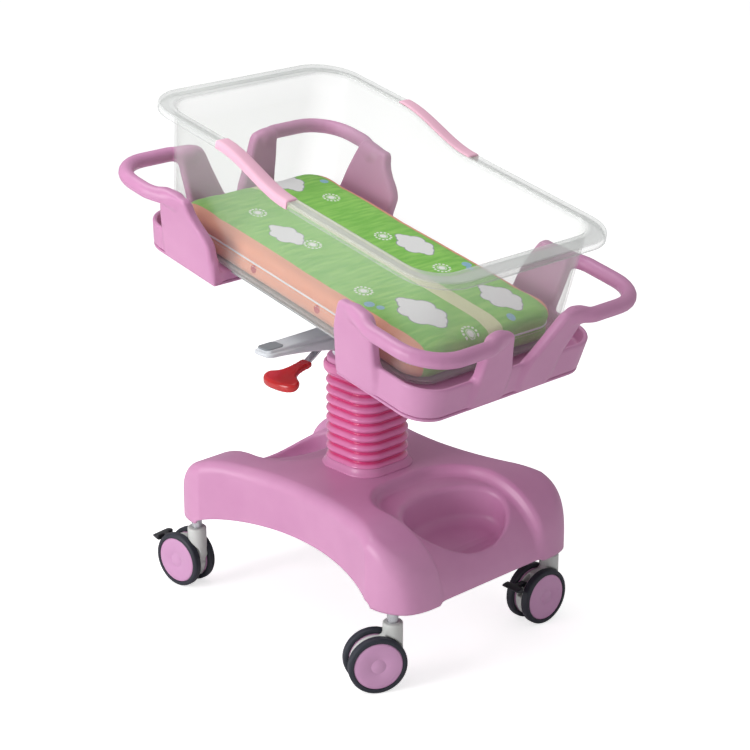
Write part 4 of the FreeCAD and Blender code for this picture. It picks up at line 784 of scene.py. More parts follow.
CLEAR = clear_finish()
dress(clear_tub, "tub", "clear_tub", CLEAR, "tub")
print("tub faces:", len(clear_tub.data.polygons))

# %% [markdown]
# ## The grip strips
# A soft pink sleeve lies over the sloping stretch of the rim on each long side. It follows the rim
# line, so a cross-section is carried along it, and it tapers to nothing at both ends.

# %% Make both strips
STRIP_OVERHANG, STRIP_MIDDLE = 8.0, 10.0


def strip_points(side):
    """Rings of the sleeve from one end to the other."""
    section = [
        (-2.5, -0.5), (-2.5, 1.2), (-1.0, 2.7), (3.0, 3.2), (10.0, 3.3), (16.0, 3.2), (20.0, 2.6),
        (22.4, 0.8),
        (22.9, -3.0), (22.9, -10.0), (22.0, -11.8), (20.4, -11.8), (20.2, -4.0), (19.4, -0.4), (10.0, 0.1),
        (0.0, 0.1)]
    rings = []
    start = STEP_START - STRIP_OVERHANG
    end = STEP_START + STEP_LENGTH + STRIP_OVERHANG
    shares = np.concatenate([[0, 0.004, 0.012, 0.024], np.linspace(0.05, 0.95, 50), [0.976, 0.988, 0.996, 1]])
    for share in shares:
        x = start + (end - start) * share
        swell = min(1.0, 0.35 + math.sqrt(max(0.0, min(share, 1 - share)) * 24))
        width = 0.88 + 0.12 * swell
        grown = np.array([((out - STRIP_MIDDLE) * width + STRIP_MIDDLE, up * swell if up > 0.2 else up)
                          for out, up in section])
        rings.append([(x, side * (TUB_HIGH_Y + out), float(rim_height(x)) + up) for out, up in grown])
    return rings


for side, strip_name in ((1, "far"), (-1, "near")):
    rings = strip_points(side)
    count = len(rings[0])
    faces = ring_faces(len(rings), count)
    faces.append(tuple(range(count)))
    faces.append(tuple(range((len(rings) - 1) * count, len(rings) * count)))
    strip = faced_out(piece("grip_sleeve_" + strip_name, np.concatenate(rings), faces, DECK))
    dress(strip, "tub", "strip_pink", STRIP_PINK, "grip_strip_" + strip_name)

# %% [markdown]
# ## The mattress
# A foam slab in a sewn cover: crowned on top, pulled in along the seam, flat below. The slab is a
# field that starts a little small and is blown up by the cloth solver with pressure and no gravity,
# and no point may move further than a few millimetres. The piping is laid on the finished skin
# afterwards.

# %% Make the mattress
PAD_LOW, PAD_HIGH, SEAM_UP = TRAY_FLOOR + TUB_WALL + 0.3, TRAY_FLOOR + TUB_WALL + 58.3, 102.0
PAD_X, PAD_Y, PAD_CORNER = 316.0, 171.0, 49.0


def pad_field(x, y, z):
    """The slab before it is filled."""
    seam = 2.5 * np.exp(-((z - SEAM_UP) / 5.0) ** 2)
    plan = rounded_plan(x, y, PAD_X - 4.0, PAD_Y - 4.0, PAD_CORNER - 4.0) + seam
    return both(plan, between(z, PAD_LOW, PAD_HIGH - 3.0), 13.0)


pad = moulded("mattress_cover", pad_field, (-330, -184, 66), (330, 184, 138), 6.0, DECK)
bpy.context.view_layer.objects.active = pad
before = np.array([v.co for v in pad.data.vertices])
cloth = pad.modifiers.new("filling", "CLOTH")
cloth.settings.use_pressure = True
cloth.settings.uniform_pressure_force = 4.0
cloth.settings.effector_weights.gravity = 0.0
for step in range(1, 21):
    bpy.context.scene.frame_set(step)
finished(pad)
after = np.array([v.co for v in pad.data.vertices])
moved = after - before
length = np.linalg.norm(moved, axis=1, keepdims=True)
cap = 6.0 * MM
filled = before + moved * np.minimum(1, cap / np.maximum(length, 1e-9))
pad.data.vertices.foreach_set("co", filled.ravel())
bpy.context.scene.frame_set(1)
print("mattress moved up to", round(float(length.max() * 1000), 1), "mm")
level = DECK.copy()
level.translation *= MM
to_deck = np.array(level.inverted())
spots = np.array([v.co for v in pad.data.vertices])
on_deck = spots @ to_deck[:3, :3].T + to_deck[:3, 3]
on_deck[:, 2] = np.maximum(on_deck[:, 2], PAD_LOW * MM)
rng = np.random.default_rng(7)
waves = [(rng.uniform(14, 34), rng.uniform(-8, 8), rng.uniform(0, 6.28)) for _ in range(5)]
ripple = sum(np.sin(on_deck[:, 0] * kx + on_deck[:, 1] * ky + turn) for kx, ky, turn in waves)
on_top = np.clip((on_deck[:, 2] / MM - SEAM_UP) / 12.0, 0, 1)
on_deck[:, 2] += 0.35 * MM * ripple * on_top
back = np.array(level)
pad.data.vertices.foreach_set("co", (on_deck @ back[:3, :3].T + back[:3, 3]).ravel())
smooth = pad.modifiers.new("smooth", "SUBSURF")
smooth.levels = smooth.render_levels = 1
finished(pad)
pad.data.shade_smooth()


# %% Seam line on the finished mattress
tree_of_faces = BVHTree.FromPolygons([v.co[:] for v in pad.data.vertices],
                                     [p.vertices[:] for p in pad.data.polygons])


def seam_points(height, stand_off):
    """Points where the cover lies at one height, all the way round."""
    found = []
    for flat in plan_ring(PAD_X, PAD_Y, PAD_CORNER, along=60, corner=16):
        outward = Vector((*(flat - np.clip(flat, (-PAD_X + 60, -60), (PAD_X - 60, 60))), 0)).normalized()
        start = level @ (Vector((*flat, height)) * MM + outward * 0.02)
        aim = (level.to_3x3() @ -outward).normalized()
        hit = tree_of_faces.ray_cast(start, aim)[0]
        if hit is not None:
            found.append(hit - aim * stand_off * MM)
    return found


def tube_round(name, line, radius, sides=8):
    """A closed round cord along a line of points."""
    line = [np.array(p) for p in line]
    rings = []
    up = np.array(level.to_3x3() @ Vector((0, 0, 1)))
    for number, spot in enumerate(line):
        run = line[(number + 1) % len(line)] - line[number - 1]
        run /= np.linalg.norm(run)
        out = np.cross(run, up)
        rings.append([(spot + radius * MM * (out * math.cos(a) + up * math.sin(a))) / MM
                      for a in np.linspace(0, 2 * math.pi, sides, endpoint=False)])
    return piece(name, np.concatenate(rings), ring_faces(len(rings), sides, True))


piping_line = seam_points(SEAM_UP, -0.6)
piping = tube_round("mattress_piping", piping_line, 2.1)
print("piping points:", len(piping_line))


# %% Motifs of the print
def ring_of(along, across, centre, size):
    """Distance from a point, as a share of size."""
    dx, dy = along - centre[0], across - centre[1]
    return (dx * dx + dy * dy).do("SQRT") / size


CLOUD_RIM = 0.07
CLOUD_LOBES = [(0.0, 0.0, 1.0), (-0.95, 0.1, 0.72), (0.95, 0.12, 0.76), (-0.45, 0.6, 0.74), (0.5, 0.58, 0.7),
               (-0.4, -0.5, 0.66), (0.5, -0.48, 0.7), (1.5, 0.0, 0.42), (-1.5, 0.05, 0.4)]
puff, puff_in, puff_out = new_group(
    "cloud_motif", [("Along", "Float", 0.0), ("Across", "Float", 0.0)], [("Fill", "Float"), ("Rim", "Float")])
along, across = numbers(puff_in, "Along", "Across")
nearest = None
for lobe_along, lobe_across, size in CLOUD_LOBES:
    away = (ring_of(along, across, (lobe_along, lobe_across), size) - 1.0) * size
    nearest = nearest.do("MINIMUM", away) if nearest else away
filled = nearest.do("LESS_THAN", 0.0)
feed(puff, puff_out, Fill=filled, Rim=filled - nearest.do("LESS_THAN", -CLOUD_RIM))

DOT_GAP, DOTS_AT, DOTS_DEEP = 0.3, 0.88, 0.13
HEART_R, PETALS_AT, PETALS_DEEP, PETALS_TONE = 0.38, 0.5, 0.06, 0.7
daisy, daisy_in, daisy_out = new_group(
    "ring_of_dots_motif", [("Along", "Float", 0.0), ("Across", "Float", 0.0), ("Dots", "Float", 13.0)],
    [("Mask", "Float")])
along, across = numbers(daisy_in, "Along", "Across")
radius = (along * along + across * across).do("SQRT")
turns = across.do("ARCTAN2", along) / (2 * math.pi) * daisy_in.outputs["Dots"]
on_turn = (turns.do("FRACT") - 0.5).do("ABSOLUTE").do("LESS_THAN", DOT_GAP)
dots = on_turn * radius.do("COMPARE", DOTS_AT, DOTS_DEEP)
petals = radius.do("COMPARE", PETALS_AT, PETALS_DEEP) * PETALS_TONE
heart = radius.do("LESS_THAN", HEART_R)
feed(daisy, daisy_out, Mask=dots.do("MAXIMUM", heart.do("MAXIMUM", petals)))

# %% Printed cover
STRIPE_AT, STRIPE_HALF, BORDER_FROM, PRINT_FROM = 12.0, 17.0, 142.0, 120.0
BERRY_UP, BERRY_R, BERRY_FROM = 92.0, 7.0, 150.0
GREENS = (118, 196, 62), (150, 214, 92)
CREAM, PEACH, CLOUD_WHITE, CLOUD_GREY = (226, 228, 178), (238, 160, 128), (240, 240, 240), (150, 156, 160)
FLOWER_WHITE, DROP_BLUE, BERRY_RED = (244, 248, 240), (140, 190, 214), (190, 52, 66)
CLOUDS = [(212, -72, 30), (236, 88, 26), (20, 96, 24), (-284, 60, 26), (-110, -84, 22)]
FLOWERS = [(-200, -70), (-60, -66), (-190, 92), (-30, 70), (110, 76), (296, -40), (110, -104)]
FLOWER_R = 16
DROPS = [(150, -128, 9), (168, -120, 7), (120, 126, 9), (134, 120, 7), (-250, 128, 8), (290, 60, 8)]
BERRIES = [-96, 66, -250, 210]


def cover_finish():
    """Woven cotton with a printed meadow: green field, cream stripe, peach borders and plain motifs."""
    material, tree, shader = new_material("mattress_cover")
    here = add(tree, "ShaderNodeTexCoord").outputs["Object"]
    turned = add(tree, "ShaderNodeMapping", {"vector_type": "TEXTURE"}, Vector=here,
                 Location=level.translation, Rotation=(0.0, math.radians(DECK_ANGLE), 0.0),
                 Scale=(MM, MM, MM))
    on_deck = turned.outputs["Vector"]
    along, across, up = numbers(add(tree, "ShaderNodeSeparateXYZ", Vector=on_deck), 0, 1, 2)
    strokes = add(tree, "ShaderNodeMapping", Vector=on_deck, Scale=(0.16, 0.02, 0.05))
    grass = add(tree, "ShaderNodeTexNoise", Vector=strokes.outputs["Vector"], Scale=1.0, Detail=3.0)
    blades = add(tree, "ShaderNodeMapRange", Value=grass.outputs["Fac"], i1=0.38, i2=0.66)
    side, top = across.do("ABSOLUTE"), up.do("GREATER_THAN", PRINT_FROM)
    colour = layer(tree, shade(*GREENS[0]), blades.outputs["Result"], shade(*GREENS[1]))
    colour = layer(tree, colour, across.do("COMPARE", STRIPE_AT, STRIPE_HALF), shade(*CREAM))
    colour = layer(tree, colour, side.do("GREATER_THAN", BORDER_FROM), shade(*PEACH))
    for x, y, size in CLOUDS:
        cloud = use(tree, puff, Along=(along - x) / size, Across=(across - y) / size)
        filled, rim = numbers(cloud, "Fill", "Rim")
        colour = layer(tree, colour, filled * top, shade(*CLOUD_WHITE))
        colour = layer(tree, colour, rim * top, shade(*CLOUD_GREY))
    for x, y in FLOWERS:
        flower = use(tree, daisy, Along=(along - x) / FLOWER_R, Across=(across - y) / FLOWER_R)
        colour = layer(tree, colour, numbers(flower, "Mask")[0] * top, shade(*FLOWER_WHITE))
    for x, y, size in DROPS:
        drop = ring_of(along, across, (x, y), size).do("LESS_THAN", 1.0)
        colour = layer(tree, colour, drop * top, shade(*DROP_BLUE))
    for x in BERRIES:
        berry = ring_of(along, up, (x, BERRY_UP), BERRY_R).do("LESS_THAN", 1.0)
        colour = layer(tree, colour, berry * side.do("GREATER_THAN", BERRY_FROM), shade(*BERRY_RED))
    warp, weft = [
        numbers(add(tree, "ShaderNodeTexWave", {"bands_direction": way}, Vector=on_deck, Scale=0.55,
                    Distortion=0.6), "Fac")[0] for way in "XY"]
    cloth = warp * weft
    pale = add(tree, "ShaderNodeMapRange", Value=cloth, i3=0.6, i4=1.0)
    softer = add(tree, "ShaderNodeMix", {"data_type": "RGBA", "blend_type": "MULTIPLY"}, i0=0.18, i6=colour,
                 i7=pale.outputs["Result"])
    bump = add(tree, "ShaderNodeBump", Strength=0.35, Distance=0.0004, Height=cloth)
    rough = add(tree, "ShaderNodeMapRange", Value=grass.outputs["Fac"], i3=0.62, i4=0.8)
    feed(tree, shader, Base_Color=softer.outputs[2], Normal=bump.outputs["Normal"],
         Roughness=rough.outputs["Result"], Sheen_Weight=0.2)
    return material


COVER = cover_finish()
dress(pad, "mattress", "mattress_cover", COVER, "mattress")
dress(piping, "mattress", "mattress_cover", PIPING)

# %% [markdown]
# ## The bellows
# The rubber sleeve round the column is one rounded square in plan and nine swelling ribs in height.
# That is a rule, so Geometry Nodes make it from named sizes: a grid is rolled up along a filleted
# square, and each point is pushed in by how far it is from the crest of its rib. The sleeve fills
# the height of the bellows node, and its tree and wall are applied, so it has no modifier left.

# %% Bellows tree
CORNER_STEPS, STEPS_ROUND, STEPS_UP = 14, 120, 9 * 16
CREST_SHARPNESS, WELD, BELLOWS_WALL = 0.65, 0.00005, 1.6


def finish_off(tree, group_in, group_out, geometry, smooth=True):
    """The last nodes of a tree: smooth shading, real instances and the material."""
    if smooth:
        geometry = add(tree, "GeometryNodeSetShadeSmooth", Geometry=geometry).outputs["Geometry"]
    real = add(tree, "GeometryNodeRealizeInstances", Geometry=geometry)
    painted = add(tree, "GeometryNodeSetMaterial", Geometry=real.outputs["Geometry"],
                  Material=group_in.outputs["Material"])
    feed(tree, group_out, Geometry=painted.outputs["Geometry"])


bellows_tree, bellows_in, bellows_out = new_group(
    "bellows_sleeve",
    [("Geometry", "Geometry", None), ("Half", "Float", 0.063), ("Corner", "Float", 0.042),
     ("Low", "Float", 0.28), ("Height", "Float", 0.158), ("Ribs", "Float", 9.0), ("Depth", "Float", 0.008),
     ("Centre", "Float", -0.008), ("Material", "Material", None)],
    [("Geometry", "Geometry")], "GeometryNodeTree")
tree = bellows_tree
half, low, height, ribs, rib_depth = numbers(bellows_in, "Half", "Low", "Height", "Ribs", "Depth")
size = half * 2.0
square = add(tree, "GeometryNodeCurvePrimitiveQuadrilateral", Width=size, Height=size)
fillet = add(tree, "GeometryNodeFilletCurve", {"mode": "POLY"}, Curve=square.outputs["Curve"],
             Radius=bellows_in.outputs["Corner"], Count=CORNER_STEPS)
grid = add(tree, "GeometryNodeMeshGrid", i0=1.0, i1=1.0, i2=STEPS_ROUND + 1, i3=STEPS_UP + 1)
spot = add(tree, "GeometryNodeInputPosition")
flat_x, flat_y = numbers(add(tree, "ShaderNodeSeparateXYZ", Vector=spot.outputs["Position"]), 0, 1)
share_round, share_up = flat_x + 0.5, flat_y + 0.5
sample = add(tree, "GeometryNodeSampleCurve", {"mode": "FACTOR"}, Curves=fillet.outputs["Curve"])
for socket in sample.inputs:
    if socket.name == "Factor":
        tree.links.new(share_round.socket, socket)
from_crest = (share_up * ribs + 0.5).do("FRACT") * 2.0 - 1.0
swell = ((from_crest * math.pi).do("COSINE") + 1.0) * 0.5
inward = 1.0 - swell.do("POWER", CREST_SHARPNESS)
away = add(tree, "ShaderNodeVectorMath", {"operation": "CROSS_PRODUCT"}, i0=sample.outputs["Tangent"],
           i1=(0.0, 0.0, 1.0))
heading = add(tree, "ShaderNodeVectorMath", {"operation": "DOT_PRODUCT"}, i0=away.outputs["Vector"],
              i1=sample.outputs["Position"])
outward = numbers(heading, "Value")[0].do("SIGN")
push = inward * rib_depth * -1.0 * outward
shift = add(tree, "ShaderNodeVectorMath", {"operation": "SCALE"}, i0=away.outputs["Vector"], Scale=push)
flat = add(tree, "ShaderNodeVectorMath", {"operation": "ADD"}, i0=sample.outputs["Position"],
           i1=shift.outputs["Vector"])
lift = add(tree, "ShaderNodeCombineXYZ", X=bellows_in.outputs["Centre"], Z=low + share_up * height)
final = add(tree, "ShaderNodeVectorMath", {"operation": "ADD"}, i0=flat.outputs["Vector"],
            i1=lift.outputs["Vector"])
# The groove share is stored for the material, which paints shade into the grooves with it.
marked = add(tree, "GeometryNodeStoreNamedAttribute", {"data_type": "FLOAT", "domain": "POINT"},
             Geometry=grid.outputs["Mesh"], Name="groove", Value=inward)
moved = add(tree, "GeometryNodeSetPosition", Geometry=marked.outputs["Geometry"],
            Position=final.outputs["Vector"])
welded = add(tree, "GeometryNodeMergeByDistance", Geometry=moved.outputs["Geometry"], Distance=WELD)
finish_off(tree, bellows_in, bellows_out, welded.outputs["Geometry"])


# %% Bellows finish
def bellows_finish():
    """Glossy pink rubber, with painted shade in the grooves: a deeper pink where each rib dips in."""
    material = finish("bellows_pink", (232, 138, 188), (222, 122, 176), (0.2, 0.3), fineness=700.0,
                      depth=0.015,
                      Coat_Weight=0.35)
    tree = material.node_tree
    shader = tree.nodes["Principled BSDF"]
    # Painted shade: the groove share turns the pink to a deep pink down in each groove, where shade falls
    # between the ribs.
    groove = add(tree, "ShaderNodeAttribute", {"attribute_name": "groove"})
    deep = add(tree, "ShaderNodeMapRange", {"interpolation_type": "SMOOTHSTEP"}, Value=groove.outputs["Fac"],
               i1=0.3, i2=0.9)
    base = shader.inputs["Base Color"].links[0].from_socket
    feed(tree, shader, Base_Color=layer(tree, base, deep.outputs["Result"], shade(214, 62, 126)))
    return material


BELLOWS_PINK = bellows_finish()


def set_input(modifier, name, value):
    """Set a Geometry Nodes input by its socket's identifier."""
    for socket in modifier.node_group.interface.items_tree:
        if socket.item_type == "SOCKET" and socket.in_out == "INPUT" and socket.name == name:
            modifier[socket.identifier] = value


def grow(thing, group, **values):
    """Give an object the mesh that a Geometry Nodes tree makes."""
    modifier = thing.modifiers.new("tree", "NODES")
    modifier.node_group = group
    for key, value in values.items():
        set_input(modifier, key, value)
    return finished(thing)


sleeve_low, sleeve_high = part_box("bellows")
sleeve = bpy.data.objects.new("bellows_sleeve", bpy.data.meshes.new("bellows_sleeve"))
bpy.context.scene.collection.objects.link(sleeve)
grow(sleeve, bellows_tree, Low=sleeve_low.z, Height=sleeve_high.z - sleeve_low.z, Centre=MAST_X * MM,
     Material=BELLOWS_PINK)
bm = bmesh.new()
bm.from_mesh(sleeve.data)
bmesh.ops.recalc_face_normals(bm, faces=bm.faces)
outer = max(bm.faces, key=lambda face: face.calc_center_median().x)
if outer.normal.x < 0:
    bmesh.ops.reverse_faces(bm, faces=bm.faces)
bm.to_mesh(sleeve.data)
bm.free()
wall = sleeve.modifiers.new("wall", "SOLIDIFY")
wall.thickness, wall.offset = BELLOWS_WALL * MM, -1.0
finished(sleeve)
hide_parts("bellows")
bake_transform(sleeve)
print("bellows faces:", len(sleeve.data.polygons))

# %% [markdown]
# ## Stitches under the piping
# The cover is sewn just below its piping. A stitch is a short fat thread that dips in at both ends.
# It is one capsule, repeated by Geometry Nodes along the seam at an even pitch, with a small
# seeded sway, so the row looks sewn and not printed.

# %% Stitch tree
stitch_tree, stitch_in, stitch_out = new_group(
    "seam_stitches",
    [("Geometry", "Geometry", None), ("Pitch", "Float", 0.0062), ("Length", "Float", 0.0044),
     ("Thread", "Float", 0.00055), ("Sway", "Float", 0.12), ("Seed", "Int", 11),
     ("Material", "Material", None)],
    [("Geometry", "Geometry")], "GeometryNodeTree")
tree = stitch_tree
seam = add(tree, "GeometryNodeMeshToCurve", Mesh=stitch_in.outputs["Geometry"])
even = add(tree, "GeometryNodeResampleCurve", {"mode": "LENGTH"}, Curve=seam.outputs["Curve"],
           Length=stitch_in.outputs["Pitch"])
thread = add(tree, "GeometryNodeMeshIcoSphere", Radius=1.0, Subdivisions=2)
thread_r, stitch_length, sway_range = numbers(stitch_in, "Thread", "Length", "Sway")
slim = add(tree, "ShaderNodeCombineXYZ", X=thread_r, Y=thread_r, Z=stitch_length * 0.5)
capsule = add(tree, "GeometryNodeTransform", Geometry=thread.outputs["Mesh"], Scale=slim.outputs[0])
run = add(tree, "GeometryNodeInputTangent")
facing = add(tree, "FunctionNodeAlignEulerToVector", {"axis": "Z"}, Vector=run.outputs["Tangent"])
sway = add(tree, "FunctionNodeRandomValue", {"data_type": "FLOAT"}, Seed=stitch_in.outputs["Seed"])
turned = add(tree, "ShaderNodeCombineXYZ", X=(numbers(sway, 1)[0] - 0.5) * sway_range)
leaning = add(tree, "FunctionNodeRotateEuler", {"space": "LOCAL"}, Rotation=facing.outputs[0],
              Rotate_By=turned.outputs[0])
row = add(tree, "GeometryNodeInstanceOnPoints", Points=even.outputs["Curve"],
          Instance=capsule.outputs["Geometry"], Rotation=leaning.outputs[0])
real = add(tree, "GeometryNodeRealizeInstances", Geometry=row.outputs["Instances"])
smoothed = add(tree, "GeometryNodeSetShadeSmooth", Geometry=real.outputs["Geometry"])
painted = add(tree, "GeometryNodeSetMaterial", Geometry=smoothed.outputs["Geometry"],
              Material=stitch_in.outputs["Material"])
feed(tree, stitch_out, Geometry=painted.outputs["Geometry"])

# %% Sew the cover
STITCH_DROP = 6.0
thread_line = seam_points(SEAM_UP - STITCH_DROP, 0.1)
stitches = bpy.data.objects.new("mattress_stitches", bpy.data.meshes.new("mattress_stitches"))
bpy.context.scene.collection.objects.link(stitches)
edges = [(n, (n + 1) % len(thread_line)) for n in range(len(thread_line))]
stitches.data.from_pydata([tuple(p) for p in thread_line], edges, [])
grow(stitches, stitch_tree, Material=THREAD)
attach(stitches, "mattress")
print("stitch faces:", len(stitches.data.polygons))

# %% [markdown]
# ## Collar, top ring and column cover
# A collar with a flared foot stands on the base under the bellows. A ring closes the bellows at the
# top, and a smooth square cover stands in that ring. All three are rounded squares in plan, so each
# is a short field that differs only in its side view.

# %% Rounded squares round the column
COLLAR_HALF, COLLAR_CORNER, COLLAR_HEIGHT, COLLAR_BORE_R = 64.0, 42.0, 14.0, 38.0
COLLAR_FLARE, FLARE_HEIGHT = 8.0, 12.0
RING_HALF, RING_CORNER, RING_Z, RING_TOP_Z = 67.0, 46.0, 438.0, 457.0
COVER_HALF, COVER_CORNER, COVER_WALL, COVER_BORE_R, HEAD_Z = 61.0, 40.0, 3.0, 30.0, 466.0


def square_plan(x, y, half, corner):
    """Rounded square about the column."""
    return rounded_plan(x - MAST_X, y, half, half, corner)


def collar_field(x, y, z):
    """Collar with a flared foot, bored for the outer tube."""
    flare = COLLAR_FLARE * np.clip(1 - (z - BASE_TOP_Z) / FLARE_HEIGHT, 0, 1) ** 2
    plan = square_plan(x, y, COLLAR_HALF, COLLAR_CORNER) - flare
    ring = both(plan, between(z, BASE_TOP_Z - 0.5, BASE_TOP_Z + COLLAR_HEIGHT), 4.0)
    return carve(ring, np.hypot(x - MAST_X, y) - COLLAR_BORE_R, 0.5)


def top_ring_field(x, y, z):
    """Fat ring that the last rib is clamped in."""
    ring = both(square_plan(x, y, RING_HALF, RING_CORNER), between(z, RING_Z, RING_TOP_Z), 6.5)
    return carve(ring, square_plan(x, y, COVER_HALF, COVER_CORNER), 1.0)


def column_cover_field(x, y, z):
    """Smooth square cover above the ring, hollow below."""
    cover = both(square_plan(x, y, COVER_HALF, COVER_CORNER), between(z, RING_Z, HEAD_Z), 4.0)
    hollow = both(square_plan(x, y, COVER_HALF - COVER_WALL, COVER_CORNER - COVER_WALL),
                  z - HEAD_Z + COVER_WALL, 1.0)
    cover = carve(cover, hollow, 0.5)
    return carve(cover, np.hypot(x - MAST_X, y) - COVER_BORE_R, 0.5)


SPAN = 78.0
for name, body, field, low_z, high_z in (
        ("bellows_collar", "base", collar_field, 260.0, 284.0),
        ("bellows_top_ring", "mast", top_ring_field, 434.0, 461.0),
        ("column_cover", "mast", column_cover_field, 434.0, 470.0)):
    made = moulded(name + "_moulding", field, (MAST_X - SPAN, -SPAN, low_z), (MAST_X + SPAN, SPAN, high_z),
                   2.0)
    dress(made, body, "cover_pink" if name != "bellows_top_ring" else "bellows_pink",
          BELLOWS_PINK if name == "bellows_top_ring" else COVER_PINK, name)

# %% [markdown]
# ## Twin-wheel casters
# Each caster has a grey housing between two wheels, and swivels on its own heading. Tyres and discs
# are round about the axle, so a profile is turned. The housing blends a round web into the neck,
# which again is easiest as a field. Everything is drawn with the trail along X and then swung.

# %% Caster sizes
WHEEL_R, TRAIL, FORK_TOP = 50.0, 30.0, 117.0
WEB_R, WEB_HALF, NECK_R, NECK_FOOT_Z, NECK_BLEND_R, STEM_BORE_R = 42.0, 9.0, 17.0, 62.0, 10.0, 6.2
PEDAL_PIN_X, PEDAL_PIN_Z, PEDAL_BORE_R = 48.0, 67.0, 2.55
TREAD_X, TREAD_HALF_X, TREAD_HALF_Y, TREAD_TOP_Z, TREAD_LOW_Z = 88.7, 8.3, 20.0, 82.0, 71.0
CASTER_X, CASTER_Y = 255.0, 189.5
HEADINGS = {"head_near": 187.0, "foot_near": 241.0, "foot_far": 268.0, "head_far": 155.0}
BRAKED = ("head_near", "foot_far")
TYRE_PROFILE = softened([(41.5, 10.4), (46.0, 10.0), (49.4, 12.0), (50.0, 14.5), (50.0, 18.0), (50.0, 21.5),
                         (49.4, 24.0), (46.0, 26.0), (42.2, 26.0), (41.5, 25.4)], 2)
DISC_PROFILE = [(0.0, 25.6), (12.0, 25.6), (12.3, 25.4), (12.9, 25.4), (13.2, 25.6), (38.5, 25.5),
                (40.4, 25.0), (41.2, 24.0), (41.4, 22.6), (41.4, 11.0), (40.0, 10.2), (4.1, 10.2),
                (4.1, 23.0), (0.0, 23.0)]


def fork_field(x, y, z):
    """Housing: web, shoulder and neck, cleared for the wheels."""
    side = np.abs(y)
    axle_away = np.hypot(x - TRAIL, z - WHEEL_R)
    web = both(axle_away - WEB_R, side - WEB_HALF, 2.5)
    neck = both(np.hypot(x, y) - NECK_R, between(z, NECK_FOOT_Z, FORK_TOP), 2.6)
    body = either(web, neck, NECK_BLEND_R)
    wheel_space = np.maximum(axle_away - WHEEL_R - 1.0, WEB_HALF - side)
    body = carve(body, wheel_space, 0.8)
    return carve(body, np.hypot(x, y) - STEM_BORE_R, 0.5)


def braked_fork_field(x, y, z):
    """The same, slotted for the pedal's arm."""
    slot = both(np.maximum(42.0 - x, 55.0 - z), np.abs(y) - 5.0, 0.5)
    return carve(fork_field(x, y, z), slot, 0.8)


def pedal_field(x, y, z):
    """Arm on the cross pin and a wide wedge-shaped tread."""
    arm = outline([(42.5, 66.0), (45.0, 71.5), (62.0, 82.5), (80.0, 81.0), (84.0, 75.0), (66.0, 74.0),
                   (52.0, 62.5), (45.0, 62.0)], x, z)
    arm = both(arm, np.abs(y) - 4.4, 1.5)
    out = np.clip((x - 80.5) / 16.5, 0, 1)
    thick = np.maximum(z - TREAD_TOP_Z + 3.0 * out ** 2, TREAD_LOW_Z + 6.5 * out - z)
    tread = both(rounded_plan(x - TREAD_X, y, TREAD_HALF_X, TREAD_HALF_Y, 4.0), thick, 2.2)
    body = either(arm, tread, 3.0)
    return carve(body, np.hypot(x - PEDAL_PIN_X, z - PEDAL_PIN_Z) - PEDAL_BORE_R, 0.2)


def turned_round(profile, segments=72):
    """A (radius, y) profile turned about the axle."""
    swing = np.linspace(0, 2 * math.pi, segments, endpoint=False)
    points = [(r * math.cos(a) + TRAIL, y, r * math.sin(a) + WHEEL_R) for a in swing for r, y in profile]
    count = len(profile)
    faces = [(s * count + p, (s + 1) % segments * count + p, (s + 1) % segments * count + (p + 1) % count,
              s * count + (p + 1) % count) for s in range(segments) for p in range(count)]
    return points, faces


def cleaned(thing):
    """Doubles merged and faces outwards."""
    bm = bmesh.new()
    bm.from_mesh(thing.data)
    bmesh.ops.remove_doubles(bm, verts=bm.verts, dist=0.01 * MM)
    bm.to_mesh(thing.data)
    bm.free()
    return faced_out(thing)


# %% Make the casters
for name, heading in HEADINGS.items():
    side_x, side_y = (1 if "foot" in name else -1), (1 if "far" in name else -1)
    spot = Matrix.Translation((side_x * CASTER_X, side_y * CASTER_Y, 0)) @ rotated(heading, "Z")
    field = braked_fork_field if name in BRAKED else fork_field
    fork = moulded("caster_housing_" + name, field, (-22, -20, 8), (72, 20, 121), 1.6, spot)
    dress(fork, "swivel_" + name, "housing_grey", HOUSING, "caster_fork_" + name)
    for kind, profile, slot, material, node in (
            ("tyres", TYRE_PROFILE, "tyre_navy", TYRE, "tyres_"),
            ("discs", DISC_PROFILE, "disc_pink", DISC_PINK, "wheel_discs_")):
        other = [(r, -y) for r, y in profile]
        both_sides = joined([turned_round(profile), turned_round(other)])
        wheels = cleaned(piece(kind + "_turned_" + name, *both_sides, spot))
        dress(wheels, "wheels_" + name, slot, material, node + name)
    if name in BRAKED:
        pedal = moulded("pedal_" + name, pedal_field, (38, -23, 56), (101, 23, 88), 1.5, spot)
        dress(pedal, "pedal_" + name, "pedal_black", PEDAL, "brake_pedal_" + name)

# %% [markdown]
# ## The tilt head with its grip arm
# A casting sits on the column: foot plate, two pivot cheeks and a hollow arm that thickens from its
# tip to its root. The lid of the arm is a little narrower than its sides, which makes the long
# crease below it.

# %% Tilt head
TILT_Z, GRIP_TIP, ARM_ROOT = 512.0, 240.0, 50.0
PLATE_HALF, PLATE_CORNER, PLATE_TOP_Z, COLUMN_BORE_R = 50.0, 26.0, 476.0, 5.0
CHEEK_R, CHEEK_IN, CHEEK_OUT, TILT_PIN_R = 26.0, 36.0, 50.0, 6.0
ARM_TOP, ARM_UNDER, UNDER_SLOPE, UNDER_CURVE = 20.0, 8.0, 0.0408, 0.000625
ARM_HALF, ROOT_WIDER, LEDGE_DROP, LEDGE_FALL, LID_NARROWER, LID_WIDENS = 22.5, 2.5, 5.0, 5.5, 5.5, 2.5
HOLLOW_HALF, HOLLOW_TIP, SLOT_HALF, SLOT_TIP, SLOT_TOP_Z = 14.0, 196.0, 8.0, 52.0, 494.0
PAD_Y, PAD_HALF_X, PAD_HALF_Y, PAD_CORNER, PAD_LOW, PAD_TOP = 217.0, 15.2, 19.0, 9.0, 18.5, 21.4


